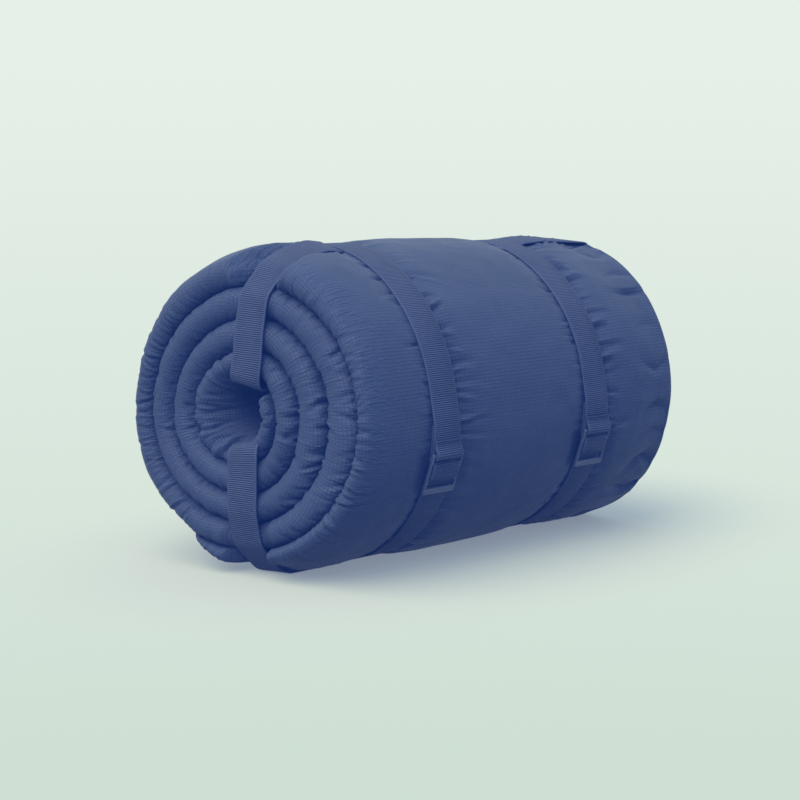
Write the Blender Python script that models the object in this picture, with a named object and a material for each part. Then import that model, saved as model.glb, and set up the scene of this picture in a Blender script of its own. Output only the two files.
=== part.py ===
"""Rolled rectangular sleeping bag held by two webbing straps with three-bar buckles.

The bag is folded in half lengthwise and rolled up. Its axis lies along X, with the folded
edges at the front end (-X), the open edges and the zip at the rear end (+X), and the buckles
on the -Y side. Lengths are in metres, Z is up, and the floor is z = 0.
A section of the roll is drawn in (u, z), where u points to -Y, so that from the front end
u runs to the right. Angles are measured from u towards z, about the core of the roll.
"""
import math

import bmesh
import bpy
from mathutils import Matrix, Vector

# Outline of the roll
ROLL_RADIUS = 0.1165
REAR_TAPER = 0.0047
REAR_RADIUS = ROLL_RADIUS - REAR_TAPER
TOP_STRETCH = 1.037
BOTTOM_STRETCH = 0.9416
AXIS_SINK = 0.0090
AXIS_HEIGHT = ROLL_RADIUS - AXIS_SINK
REAR_X = 0.1755
CORE_U = 0.0050
CORE_Z = 0.0035
SIDE_SHIFT = 0.00832
REST_SHARE = 0.80

# Front end: folded edges on a leaning face, and the rounded shoulder behind them
NOSE_X = -0.1688
FACE_LEAN_U = 0.20
FACE_LEAN_Z = 0.065
FACE_REACH = 0.0920
SHOULDER_X = -0.1216
SHOULDER_LENGTH = 0.0695
SHOULDER_DROP = 0.0523
SHOULDER_SHARE = 0.55
NOSE_THICKNESS_LEAST = 0.0125
PULLED_HALF = 0.0085
NOSE_TURNS = (20.0, 65.0, 115.0, 160.0)
CORE_NOSE_TURNS = (50.0, 130.0)

# Rear end
HEEL_LENGTH = 0.0065
HEEL_DROP = 0.0018

# Winding
START_ANGLE = 63.0
TURNS = 4.5
FIRST_BOUNDARY = 0.0256
OUTER_TURN = 0.01775
PITCH = (ROLL_RADIUS - OUTER_TURN - FIRST_BOUNDARY) / (TURNS - 1.0)
CORE_RADIUS = 0.0168
TURN_GAP = 0.0006
FLAP_END = 0.0072
HEM_HALF = 0.0037
EMERGE_TURNS = 0.45
REST_TURNS = 0.60
BOTTOM_REACH = 24.0
COARSE_STEP = 30.0
FINE_STEP = 15.0

# Layers of the bag, from the outer shell inwards
SHELL_CLOTH = 0.0004
LINING_CLOTH = 0.0005
LAYER_GAP = 0.0003
FILLING_INSET = 0.0005
FOLD_GAP = 0.0004

# Webbing straps
WEB_WIDTH = 0.0250
WEB_THICKNESS = 0.0014
STRAP_FRONT_X = -0.0755
STRAP_REAR_X = 0.0832
STRAP_GROOVE = 0.0022
UNDER_GROOVE = 0.0031
GROOVE_SIDE = 0.0010
CROWN_START = 0.0295
CROWN = 0.0012
STRAP_CLEAR = 0.0003
PLY_REACH = 5.0 * WEB_THICKNESS

# Three-bar buckles: places are (distance down the facet, height over the strap's bed)
BUCKLE_ANGLES = (-12.0, -27.0)
RAIL_GAP = 0.0004
RAIL_WIDTH = 0.0016
RAIL_DEPTH = 0.0030
TOP_BAR = (-0.0135, 0.0052)
TOP_BAR_RADIUS = 0.0016
MIDDLE_BAR = (-0.0021, 0.0044)
MIDDLE_BAR_SIZE = (0.0090, 0.0022)
LOWER_BAR = (0.0132, 0.0034)
LOWER_BAR_SIZE = (0.0046, 0.0024)
FIT = 0.0003
PLY_GAP = 0.0005
FLAP_STITCH = -0.0235
FLAP_LIES = -0.0190
TAIL_END = -0.0330
LAP_END = -0.0360
LAP_DOWN = -0.0460
SLANT_START = 0.0105
SLANT_END = (0.0030, 0.0063)
LOOP_TURNS = (110.0, 75.0, 40.0, 0.0, -40.0, -65.0, -90.0)
BIGHT_FLAT = 0.0020
BIGHT_CORNER = (0.0003, 0.0008)
BIGHT_DROP = 0.0018
BIGHT_FOOT = (0.0008, 0.0005)
BIGHT_TOE = 0.0021
RAIL_END = 0.0013
RAIL_RISE = (0.6, 1.0, 0.85, 1.0, 0.6)
BAR_SIDES = 12

# Core straps: over the ends and through the bore
FACE_STRAP_U = 0.0140
BORE_STRAP_U = 0.0040
BORE_STRAP_OFFSET = 0.0086
CORE_STRAP_CLEAR = 0.0009
FACE_STRAP_CLEAR = 0.0014
FACE_SPREAD_Z = 0.0450
BAND_STATIONS = ((78.0, 93.0), (-72.0, -87.0, -102.0))
BAND_TILT = FACE_STRAP_U / ROLL_RADIUS
LIP_ROUND = 0.0020

# Shoulder pulled in by each band, a quarter of an ellipse: (start, end, sink, drop)
BAND_SHOULDERS = (
    (STRAP_FRONT_X - 0.0305, NOSE_X + 0.0028, 0.0045, 0.0740),
    (SHOULDER_X, NOSE_X - 0.0043, -0.0015, 0.0668),
)

# Zip along the rear edges
TAPE_CLOTH = 0.0006
TAPE_BACK = 0.0067
TAPE_OUT = 0.0014
TAPE_APART = 0.0026
CHAIN_START = 0.0018
CHAIN_DEPTH = 0.0026
CHAIN_LOW = 0.0006
CHAIN_TOP = 0.0040
ZIP_START = 0.55
ZIP_END = 4.43
SLIDER_TURN = 4.25
SLIDER_LENGTH = 0.0085
SLIDER_WALL = 0.0010
PIN_RADIUS = 0.0006
PIN_OUT = 0.0021
PULLER_LENGTH = 0.0170
PULLER_WIDTH = 0.0033
TAB_START = 0.0050
TAB_WIDTH = 0.0062
PULLER_THICKNESS = 0.0010
EYE_RADIUS = 0.0015
LUG_FOOT = 0.0026
LUG_TOP = 0.0012
LUG_SINK = 0.0004
ROD_SIDES = 10

CLOTH_BLUE = (0.050, 0.082, 0.200)
LINING_BLUE = (0.060, 0.095, 0.215)
FILLING_WHITE = (0.80, 0.80, 0.78)
WEB_BLUE = (0.045, 0.072, 0.180)
PLASTIC_BLUE = (0.060, 0.088, 0.190)
ZIP_BLUE = (0.040, 0.062, 0.150)


def smooth(t):
    t = min(1.0, max(0.0, t))
    return t * t * (3.0 - 2.0 * t)


def mix(a, b, t):
    return a + (b - a) * t


def material(name, colour, roughness, metallic=0.0):
    found = bpy.data.materials.new(name)
    found.use_nodes = True
    shader = found.node_tree.nodes["Principled BSDF"]
    shader.inputs["Base Color"].default_value = (*colour, 1.0)
    shader.inputs["Roughness"].default_value = roughness
    shader.inputs["Metallic"].default_value = metallic
    found.diffuse_color = (*colour, 1.0)
    return found


def add_object(name, mesh, colour_material, smooth_angle=40.0):
    mesh.materials.append(colour_material)
    item = bpy.data.objects.new(name, mesh)
    bpy.context.collection.objects.link(item)
    mesh.shade_smooth()
    mesh.set_sharp_from_angle(angle=math.radians(smooth_angle))
    return item


def finish_mesh(name, work, colour_material):
    bmesh.ops.recalc_face_normals(work, faces=work.faces)
    mesh = bpy.data.meshes.new(name)
    work.to_mesh(mesh)
    work.free()
    return add_object(name, mesh, colour_material)


def solid_from_rings(name, rings, colour_material):
    """Closed skin over rings of four or so points each; the first and last are capped."""
    work = bmesh.new()
    rows = [[work.verts.new(p) for p in ring] for ring in rings]
    size = len(rows[0])
    for low, high in zip(rows, rows[1:]):
        for i in range(size):
            j = (i + 1) % size
            work.faces.new((low[i], low[j], high[j], high[i]))
    work.faces.new(rows[0])
    work.faces.new(rows[-1])
    return finish_mesh(name, work, colour_material)


def close_end(work, outer, inner):
    """Fill the end of a folded layer with a strip of triangles between its two paths."""
    i = 0
    j = 0
    while i < len(outer) - 1 or j < len(inner) - 1:
        outer_next = (i + 1) / (len(outer) - 1) if i < len(outer) - 1 else 2.0
        inner_next = (j + 1) / (len(inner) - 1) if j < len(inner) - 1 else 2.0
        if outer_next <= inner_next:
            work.faces.new((outer[i], outer[i + 1], inner[j]))
            i += 1
        else:
            work.faces.new((outer[i], inner[j + 1], inner[j]))
            j += 1


def folded_solid(name, rows, colour_material):
    """Solid inside one swept path that folds back on itself."""
    work = bmesh.new()
    paths = [[work.verts.new(p) for p in row] for row in rows]
    for low, high in zip(paths, paths[1:]):
        for k in range(len(low) - 1):
            work.faces.new((low[k], low[k + 1], high[k + 1]))
            work.faces.new((low[k], high[k + 1], high[k]))
        work.faces.new((low[0], high[0], high[-1], low[-1]))
    work.faces.new(paths[0])
    work.faces.new(paths[-1])
    return finish_mesh(name, work, colour_material)


def layer_from_paths(name, outer_rows, inner_rows, colour_material):
    """Solid between two swept paths. Both sides are split along like diagonals, so that
    neighbouring layers stay apart where their faces twist."""
    work = bmesh.new()
    outer = [[work.verts.new(p) for p in row] for row in outer_rows]
    inner = [[work.verts.new(p) for p in row] for row in inner_rows]
    for rows in (outer, inner):
        for low, high in zip(rows, rows[1:]):
            for k in range(len(low) - 1):
                work.faces.new((low[k], low[k + 1], high[k + 1]))
                work.faces.new((low[k], high[k + 1], high[k]))
    for k in (0, -1):
        for low, high in zip(range(len(outer) - 1), range(1, len(outer))):
            corner = (outer[low][k], inner[low][k], inner[high][k], outer[high][k])
            work.faces.new(corner)
    close_end(work, outer[0], inner[0])
    close_end(work, outer[-1], inner[-1])
    return finish_mesh(name, work, colour_material)


# Section of the roll


def stretch(u, z):
    """Flatten the lower half and raise the upper half, more towards the outside."""
    share = math.hypot(u, z) / ROLL_RADIUS
    factor = TOP_STRETCH if z > 0.0 else BOTTOM_STRETCH
    return u, z * (1.0 + (factor - 1.0) * share)


def circle_from_core(angle, radius):
    """Distance from the core to a circle about the roll's axis, along an angle."""
    along = CORE_U * math.cos(angle) + CORE_Z * math.sin(angle)
    square = CORE_U * CORE_U + CORE_Z * CORE_Z
    return -along + math.sqrt(along * along - square + radius * radius)


def section_point(angle, radius, rest=None):
    """(u, z) of a point; rest is its depth under the outline, used at the flat underside."""
    u = CORE_U + radius * math.cos(angle)
    z = CORE_Z + radius * math.sin(angle)
    u, z = stretch(u, z)
    if rest is not None:
        z = max(z, -AXIS_HEIGHT + rest)
    return u, z


def world(x, u, z):
    return Vector((x, SIDE_SHIFT - u, z + AXIS_HEIGHT))


def taper_radius(x, angle):
    """Outline radius: a slight taper to the rear that leaves the underside straight."""
    share = (x - SHOULDER_X) / (REAR_X - SHOULDER_X)
    low = max(0.0, -math.sin(angle))
    rear = mix(REAR_RADIUS, ROLL_RADIUS, low)
    return mix(ROLL_RADIUS, rear, max(0.0, share))


def shoulder_under(angle):
    """The pulled-in shoulder at an angle, or None away from the two bands."""
    turned = math.degrees(angle)
    for shoulder, places in zip(BAND_SHOULDERS, BAND_STATIONS):
        for place in places:
            if abs((turned - place + 180.0) % 360.0 - 180.0) < 1.0:
                return shoulder
    return None


def shoulder_radius(x, angle):
    radius = taper_radius(x, angle)
    if x < SHOULDER_X:
        reach = min(1.0, (SHOULDER_X - x) / SHOULDER_LENGTH)
        radius = ROLL_RADIUS - SHOULDER_DROP * (1.0 - math.sqrt(1.0 - reach * reach))
    pulled = shoulder_under(angle)
    if pulled and x < pulled[0]:
        start, end, sink, drop = pulled
        reach = min(1.0, (start - x) / (start - end))
        radius = min(radius, ROLL_RADIUS - sink - drop * (1.0 - math.sqrt(1.0 - reach * reach)))
    return radius


def pulled_x(pulled, radius):
    """Place along the roll at which a pulled-in shoulder comes down to a radius."""
    start, end, sink, drop = pulled
    height = 1.0 - (ROLL_RADIUS - sink - radius) / drop
    return start - (start - end) * math.sqrt(max(0.0, 1.0 - height * height))


def boundary(turn):
    """Radius of the surface between a turn and the next one out."""
    return FIRST_BOUNDARY + PITCH * turn


def turn_angle(turn):
    return math.radians(START_ANGLE - 360.0 * turn)


def outer_radius(turn, x):
    """Outer surface of the bag at a turn: under the next turn, or the roll's outline."""
    covered = TURNS - 1.0
    if turn <= covered + 1e-9:
        return boundary(turn)
    angle = turn_angle(turn)
    full = circle_from_core(angle, taper_radius(max(x, SHOULDER_X), angle))
    rise = smooth((turn - covered) / EMERGE_TURNS)
    radius = mix(boundary(turn), full, rise)
    if turn > TURNS - 1e-9:
        radius = boundary(covered) + TURN_GAP + FLAP_END
    return min(radius, circle_from_core(angle, shoulder_radius(x, angle)))


def inner_radius(turn):
    """Inner surface of the bag at a turn: over the turn below, or the bore."""
    if turn >= 1.0:
        return boundary(turn - 1.0) + TURN_GAP
    return max(CORE_RADIUS, boundary(turn - 1.0) + TURN_GAP)


def face_share(x):
    """How far a place is on its way from the shoulder to the leaning face."""
    return min(1.0, max(0.0, (SHOULDER_X - x) / (SHOULDER_X - NOSE_X)))


def nose_tip(turn):
    """x of the folded edge at a turn; the face leans."""
    angle = turn_angle(turn)
    middle = 0.5 * (inner_radius(turn) + min(boundary(turn), FACE_REACH))
    u, z = section_point(angle, middle)
    tip = NOSE_X + FACE_LEAN_U * u + FACE_LEAN_Z * z
    pulled = shoulder_under(angle)
    if pulled:
        x = pulled_x(pulled, inner_radius(turn) + PULLED_HALF)
        tip = max(tip, x + FACE_LEAN_U * face_share(x) * (u - FACE_STRAP_U))
    return tip


class Station:
    """One section through the wound bag: its legs, folded nose and layer depths."""

    def __init__(self, turn):
        self.turn = turn
        self.angle = turn_angle(turn)
        self.inner = inner_radius(turn)
        self.tip = nose_tip(turn)
        self.shown = turn > TURNS - 1.0 + 1e-9
        probe = self.tip + 0.5 * NOSE_THICKNESS_LEAST
        thick = max(outer_radius(turn, probe) - self.inner, self.nose_least())
        self.nose_half = 0.5 * thick
        self.nose_x = self.tip + self.nose_half
        self.nose_radius = self.inner + self.nose_half
        start = self.nose_x
        self.shoulder_x = start + SHOULDER_SHARE * (SHOULDER_X - start)
        self.shoulder_r = self.leg(self.shoulder_x)
        self.rear_r = outer_radius(turn, REAR_X)

    def nose_least(self):
        full = outer_radius(self.turn, SHOULDER_X) - self.inner
        return min(full, NOSE_THICKNESS_LEAST)

    def leg(self, x):
        """Outer leg radius, never thinner than the nose."""
        return max(outer_radius(self.turn, x), self.inner + 2.0 * self.nose_half)

    def place(self, x, radius):
        """World position of a point of this section, kept above the flat underside."""
        rest = None
        if self.turn > TURNS - REST_TURNS:
            rest = REST_SHARE * max(0.0, self.leg(x) + self.crown(x) - radius)
        u, z = section_point(self.angle, radius, rest)
        return world(x, u, z)

    def crown(self, x):
        """Swell of the shown turn between the straps."""
        low = STRAP_FRONT_X + CROWN_START
        high = STRAP_REAR_X - CROWN_START
        return CROWN if self.shown and low - FIT < x < high + FIT else 0.0

    def at_bottom(self):
        down = math.degrees(self.angle) % 360.0
        return self.shown and abs(down - 270.0) < BOTTOM_REACH

    def drawn_in(self, x):
        """Radius where webbing presses on the bag; a thin hem is drawn in less."""
        leg = self.leg(x)
        if not self.shown:
            return leg
        groove = UNDER_GROOVE if self.at_bottom() else STRAP_GROOVE
        half = 0.5 * (leg - self.inner)
        return leg - groove * smooth((half - HEM_HALF) / HEM_HALF)

    def end_radius(self, x):
        """Radius beyond the straps, where the lower core strap presses on the underside."""
        return self.drawn_in(x) if self.at_bottom() else self.leg(x)

    def skin(self, depth):
        """Path from the outer rear edge round the nose to the inner rear edge."""
        heel = HEEL_DROP if self.shown else 0.0
        half = 0.5 * WEB_WIDTH + GROOVE_SIDE
        points = [(REAR_X, self.end_radius(REAR_X) - heel - depth)]
        points.append((REAR_X - HEEL_LENGTH, self.end_radius(REAR_X - HEEL_LENGTH) - depth))
        for x in (STRAP_REAR_X + half, STRAP_REAR_X - half):
            points.append((x, self.drawn_in(STRAP_REAR_X) - depth))
        for x in (STRAP_REAR_X - CROWN_START, STRAP_FRONT_X + CROWN_START):
            points.append((x, self.leg(x) + self.crown(x) - depth))
        for x in (STRAP_FRONT_X + half, STRAP_FRONT_X - half):
            points.append((x, self.drawn_in(STRAP_FRONT_X) - depth))
        points.append((SHOULDER_X, self.end_radius(SHOULDER_X) - depth))
        points.append((self.shoulder_x, self.end_radius(self.shoulder_x) - depth))
        for turned in NOSE_TURNS:
            points.append(self.nose_point(depth, turned))
        points.append((REAR_X, self.inner + depth))
        return points

    def nose_point(self, depth, turned):
        swing = math.radians(turned)
        radius = self.nose_half - depth
        x = self.nose_x - radius * math.sin(swing)
        return x, self.nose_radius + radius * math.cos(swing)

    def nose_place(self, turned):
        return self.place(*self.nose_point(0.0, turned))

    def core(self, surface, inset):
        """Plainer path of an inner layer's surface, drawn in from the rear edge."""
        rear = REAR_X - inset
        at_rear = layer_depth(surface, 0.5 * (self.rear_r - self.inner))
        at_shoulder = layer_depth(surface, 0.5 * (self.shoulder_r - self.inner))
        at_nose = layer_depth(surface, self.nose_half)
        points = [(rear, self.rear_r - at_rear)]
        points.append((SHOULDER_X, self.leg(SHOULDER_X) - at_rear))
        points.append((self.shoulder_x, self.shoulder_r - at_shoulder))
        for turned in CORE_NOSE_TURNS:
            points.append(self.nose_point(at_nose, turned))
        points.append((self.shoulder_x, self.inner + at_shoulder))
        points.append((rear, self.inner + at_rear))
        return points


def layer_depth(surface, half):
    """Depth of a layer surface: 0 and 1 shell, 2 and 3 filling, 4 and 5 lining, and so on."""
    fixed = SHELL_CLOTH + 4.0 * LAYER_GAP + LINING_CLOTH + 0.5 * FOLD_GAP
    fill = 0.5 * (half - fixed)
    steps = (0.0, SHELL_CLOTH, LAYER_GAP, fill, LAYER_GAP, LINING_CLOTH, LAYER_GAP, fill, LAYER_GAP)
    return sum(steps[: surface + 1])


def stations():
    """Turns at which sections are taken: coarse under the cover, fine where shown."""
    turns = []
    angle = START_ANGLE
    end = START_ANGLE - 360.0 * TURNS
    shown = START_ANGLE - 360.0 * (TURNS - 1.0)
    while angle > end + 1e-6:
        turns.append((START_ANGLE - angle) / 360.0)
        angle -= COARSE_STEP if angle > shown + 1e-6 else FINE_STEP
    turns.append(TURNS)
    return [Station(turn) for turn in turns]


def wound(name, sections, outer_path, inner_path, colour_material):
    outer = [[section.place(x, r) for x, r in outer_path(section)] for section in sections]
    inner = [[section.place(x, r) for x, r in inner_path(section)] for section in sections]
    return layer_from_paths(name, outer, inner, colour_material)


def build_bag(sections, paint):
    inset = HEEL_LENGTH + FILLING_INSET
    cover = SHELL_CLOTH + LAYER_GAP

    def filling_skin(section):
        points = section.skin(cover)
        first = (REAR_X - inset, points[1][1])
        last = (REAR_X - inset, points[-1][1])
        return [first] + points[2:-1] + [last]

    wound("bottom_shell", sections, lambda s: s.skin(0.0), lambda s: s.skin(SHELL_CLOTH), paint["cloth"])
    wound("bottom_filling", sections, filling_skin, lambda s: s.core(3, inset), paint["filling"])
    wound("lining", sections, lambda s: s.core(4, inset), lambda s: s.core(5, inset), paint["lining"])
    wound("top_filling", sections, lambda s: s.core(6, inset), lambda s: s.core(7, inset),
          paint["filling"])
    folded = [[section.place(x, r) for x, r in section.core(8, inset)] for section in sections]
    folded_solid("top_shell", folded, paint["cloth"])


# Webbing


def hull(points):
    """Convex outline of plane points, anticlockwise."""
    ordered = sorted(points)

    def half_hull(items):
        chain = []
        for point in items:
            while len(chain) > 1:
                ax, ay = chain[-1][0] - chain[-2][0], chain[-1][1] - chain[-2][1]
                bx, by = point[0] - chain[-1][0], point[1] - chain[-1][1]
                if ax * by - ay * bx > 0.0:
                    break
                chain.pop()
            chain.append(point)
        return chain[:-1]

    return half_hull(ordered) + half_hull(ordered[::-1])


def side_step(path, distance):
    """Move each point of an open path sideways, to the left of its run, with mitred corners."""
    moved = []
    for i, (px, py) in enumerate(path):
        before = path[max(0, i - 1)]
        after = path[min(len(path) - 1, i + 1)]
        sides = []
        for start, end in ((before, (px, py)), ((px, py), after)):
            run = math.hypot(end[0] - start[0], end[1] - start[1])
            if run > 0.0:
                sides.append(((start[1] - end[1]) / run, (end[0] - start[0]) / run))
        nx = sum(side[0] for side in sides)
        ny = sum(side[1] for side in sides)
        scale = 2.0 * distance / (nx * nx + ny * ny) if len(sides) == 2 else distance
        moved.append((px + scale * nx, py + scale * ny))
    return moved


class Bed:
    """Line on which a strap lies round the roll, unrolled from the middle of the buckle."""

    def __init__(self, sections, x):
        self.x = x
        shown = [section for section in sections if section.shown]
        points = []
        for section in shown:
            place = section.place(x, section.drawn_in(x))
            points.append((SIDE_SHIFT - place.y, place.z - AXIS_HEIGHT))
        ring = hull(points)[::-1]
        at = []
        for angle in BUCKLE_ANGLES:
            wanted = math.radians(angle)
            at.append(min(range(len(ring)), key=lambda i: abs(self.angle_of(ring[i]) - wanted)))
        ring = ring[at[1]:] + ring[: at[1]]
        loop = side_step([ring[-1]] + ring + [ring[0]], STRAP_CLEAR)[1:-1]
        middle = tuple(0.5 * (loop[-1][i] + loop[0][i]) for i in (0, 1))
        self.corners = [middle] + loop + [middle]
        self.marks = [0.0]
        for start, end in zip(self.corners, self.corners[1:]):
            self.marks.append(self.marks[-1] + math.dist(start, end))
        self.round = self.marks[-1]

    @staticmethod
    def angle_of(point):
        return math.atan2(point[1] - CORE_Z, point[0] - CORE_U)

    def at(self, along, height):
        """(u, z) at a distance down from the buckle's middle and a height over the bed."""
        rest = along % self.round
        k = max(i for i, mark in enumerate(self.marks[:-1]) if mark <= rest + 1e-9)
        if rest - self.marks[k] < 1e-8:
            return self.raised(k, height)
        start, end = self.corners[k], self.corners[k + 1]
        run = self.marks[k + 1] - self.marks[k]
        share = (rest - self.marks[k]) / run
        u = mix(start[0], end[0], share) + height * (start[1] - end[1]) / run
        z = mix(start[1], end[1], share) + height * (end[0] - start[0]) / run
        return u, z

    def flat(self, place):
        """(u, z) in the straight frame of the buckle's facet."""
        start, end = self.corners[-2], self.corners[1]
        run = math.dist(start, end)
        down = ((end[0] - start[0]) / run, (end[1] - start[1]) / run)
        middle = self.corners[0]
        u = middle[0] + place[0] * down[0] - place[1] * down[1]
        z = middle[1] + place[0] * down[1] + place[1] * down[0]
        return u, z

    def raised(self, k, height):
        last = len(self.corners) - 1
        before = self.corners[k - 1] if k > 0 else self.corners[last - 1]
        after = self.corners[k + 1] if k < last else self.corners[1]
        return side_step([before, self.corners[k], after], height)[1]

    def lay(self, path):
        """Turn a path of (along, height) into (u, z), with a point at each corner passed."""
        points = [self.at(*path[0])]
        for (a0, n0), (a1, n1) in zip(path, path[1:]):
            low, high = min(a0, a1), max(a0, a1)
            passed = []
            for lap in (-2, -1, 0):
                for mark in self.marks[1:-1]:
                    along = mark + lap * self.round
                    if low + 1e-6 < along < high - 1e-6:
                        passed.append(along)
            for along in sorted(passed, reverse=a1 < a0):
                points.append(self.at(along, mix(n0, n1, (along - a0) / (a1 - a0))))
            points.append(self.at(a1, n1))
        return points


def ribbon(name, centre, to_world, colour_material):
    """Webbing along a centre line in a plane; to_world takes (point, index, side)."""
    half = 0.5 * WEB_THICKNESS
    left = side_step(centre, half)
    right = side_step(centre, -half)
    rings = []
    for i, (a, b) in enumerate(zip(left, right)):
        rings.append([to_world(a, i, -1), to_world(a, i, 1), to_world(b, i, 1), to_world(b, i, -1)])
    return solid_from_rings(name, rings, colour_material)


def strap_path(bed):
    """Centre line of a strap from its stitched flap round the roll to its free tail."""
    lies = 0.5 * WEB_THICKNESS
    inner_leg = lies + WEB_THICKNESS + PLY_GAP
    flap = inner_leg + WEB_THICKNESS + PLY_GAP
    bar_a, bar_n = TOP_BAR
    wrap = TOP_BAR_RADIUS + FIT + lies
    path = [(FLAP_STITCH, flap), (FLAP_LIES, flap)]
    for turned in LOOP_TURNS:
        swing = math.radians(turned)
        path.append((bar_a + wrap * math.cos(swing), bar_n + wrap * math.sin(swing)))
    path.append((LAP_END, inner_leg))
    path.append((LAP_DOWN, lies))
    path.append((SLANT_START - bed.round, lies))
    over = MIDDLE_BAR[1] + 0.5 * MIDDLE_BAR_SIZE[1] + FIT + lies
    bar_end = MIDDLE_BAR[0] - 0.5 * MIDDLE_BAR_SIZE[0]
    slot = 0.5 * (bar_end + bar_a + wrap + lies)
    loop = [SLANT_END, (SLANT_END[0] - BIGHT_FLAT, over), (bar_end, over)]
    loop += [(slot + BIGHT_CORNER[0], over - BIGHT_CORNER[1]), (slot, over - BIGHT_DROP)]
    loop += [(slot, inner_leg), (slot - BIGHT_FOOT[0], lies + BIGHT_FOOT[1])]
    loop += [(slot - BIGHT_TOE, lies), (TAIL_END, lies)]
    path += [(a - bed.round, n) for a, n in loop]
    return path


def build_strap(name, bed, paint):
    centre = bed.lay(strap_path(bed))
    half = 0.5 * WEB_WIDTH

    def to_world(point, index, side):
        return world(bed.x + side * half, point[0], point[1])

    return ribbon(name, centre, to_world, paint["web"])


# Buckles


def prism(profile, low, high):
    """Closed mesh between two copies of a profile; low and high map a profile point."""
    work = bmesh.new()
    first = [work.verts.new(low(p)) for p in profile]
    last = [work.verts.new(high(p)) for p in profile]
    size = len(profile)
    for i in range(size):
        j = (i + 1) % size
        work.faces.new((first[i], first[j], last[j], last[i]))
    work.faces.new(first)
    work.faces.new(last)
    bmesh.ops.recalc_face_normals(work, faces=work.faces)
    mesh = bpy.data.meshes.new("prism")
    work.to_mesh(mesh)
    work.free()
    return mesh


def combine(name, meshes, operation, colour_material, pivot):
    """Join prisms by exact Booleans and put the origin at a pivot."""
    items = []
    for mesh in meshes:
        item = bpy.data.objects.new("piece", mesh)
        bpy.context.collection.objects.link(item)
        items.append(item)
    base = items[0]
    for other, how in zip(items[1:], operation):
        modifier = base.modifiers.new("join", "BOOLEAN")
        modifier.operation = how
        modifier.solver = "EXACT"
        modifier.object = other
    bpy.context.view_layer.update()
    graph = bpy.context.evaluated_depsgraph_get()
    mesh = bpy.data.meshes.new_from_object(base.evaluated_get(graph))
    mesh.name = name
    for item in items:
        bpy.data.objects.remove(item, do_unlink=True)
    mesh.transform(Matrix.Translation(-pivot))
    result = add_object(name, mesh, colour_material, 35.0)
    result.location = pivot
    return result


def rounded_bar(centre, size):
    """Outline of a bar with rounded long edges, as (along, height) points."""
    along, height = centre
    radius = 0.5 * size[1]
    reach = 0.5 * size[0] - radius
    points = []
    for turned in (-90.0, -45.0, 0.0, 45.0, 90.0):
        swing = math.radians(turned)
        points.append((along + reach + radius * math.cos(swing), height + radius * math.sin(swing)))
    for turned in (90.0, 135.0, 180.0, 225.0, 270.0):
        swing = math.radians(turned)
        points.append((along - reach + radius * math.cos(swing), height + radius * math.sin(swing)))
    return points


def circle(centre, radius, count):
    points = []
    for i in range(count):
        swing = 2.0 * math.pi * i / count
        points.append((centre[0] + radius * math.cos(swing), centre[1] + radius * math.sin(swing)))
    return points


def build_buckle(name, bed, paint):
    inner = 0.5 * WEB_WIDTH + RAIL_GAP
    middle = 0.5 * (inner + inner + RAIL_WIDTH)

    def mapped(x):
        return lambda p: world(bed.x + x, *bed.flat(p))

    spine = [(TOP_BAR[0] - RAIL_END, TOP_BAR[1])]
    spine += [TOP_BAR, MIDDLE_BAR, LOWER_BAR]
    spine.append((LOWER_BAR[0] + RAIL_END, LOWER_BAR[1]))
    half = 0.5 * RAIL_DEPTH
    profile = [(a, n + half * k) for (a, n), k in zip(spine, RAIL_RISE)]
    profile += [(a, n - half * k) for (a, n), k in zip(spine[::-1], RAIL_RISE[::-1])]
    meshes = []
    for side in (-1.0, 1.0):
        ends = sorted((side * inner, side * (inner + RAIL_WIDTH)))
        meshes.append(prism(profile, mapped(ends[0]), mapped(ends[1])))
    bars = [circle(TOP_BAR, TOP_BAR_RADIUS, BAR_SIDES), rounded_bar(MIDDLE_BAR, MIDDLE_BAR_SIZE)]
    bars.append(rounded_bar(LOWER_BAR, LOWER_BAR_SIZE))
    for bar in bars:
        meshes.append(prism(bar, mapped(-middle), mapped(middle)))
    pivot = world(bed.x, *bed.flat(TOP_BAR))
    return combine(name, meshes, ["UNION"] * 4, paint["plastic"], pivot)


# Core straps


def between(sections, side, path):
    """Path of (x, z) in the plane of a core strap, between the two nearest sections."""
    chosen = []
    for angle in BAND_STATIONS[0 if side > 0.0 else 1][:2]:
        for section in sections:
            turned = math.degrees(section.angle) - angle
            if section.shown and abs((turned + 180.0) % 360.0 - 180.0) < 1.0:
                chosen.append(path(section))
    points = []
    for a, b in zip(*chosen):
        share = (a.y - SIDE_SHIFT + FACE_STRAP_U) / (a.y - b.y)
        points.append((mix(a.x, b.x, share), side * (mix(a.z, b.z, share) - AXIS_HEIGHT)))
    return points


def upper_side(points, last):
    """The part of a convex outline from its rearmost point over the top to a last point."""
    ring = hull(points)
    k = ring.index(max(ring))
    chain = [ring[k]]
    while chain[-1] != last:
        k = (k + 1) % len(ring)
        chain.append(ring[k])
    return chain


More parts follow.
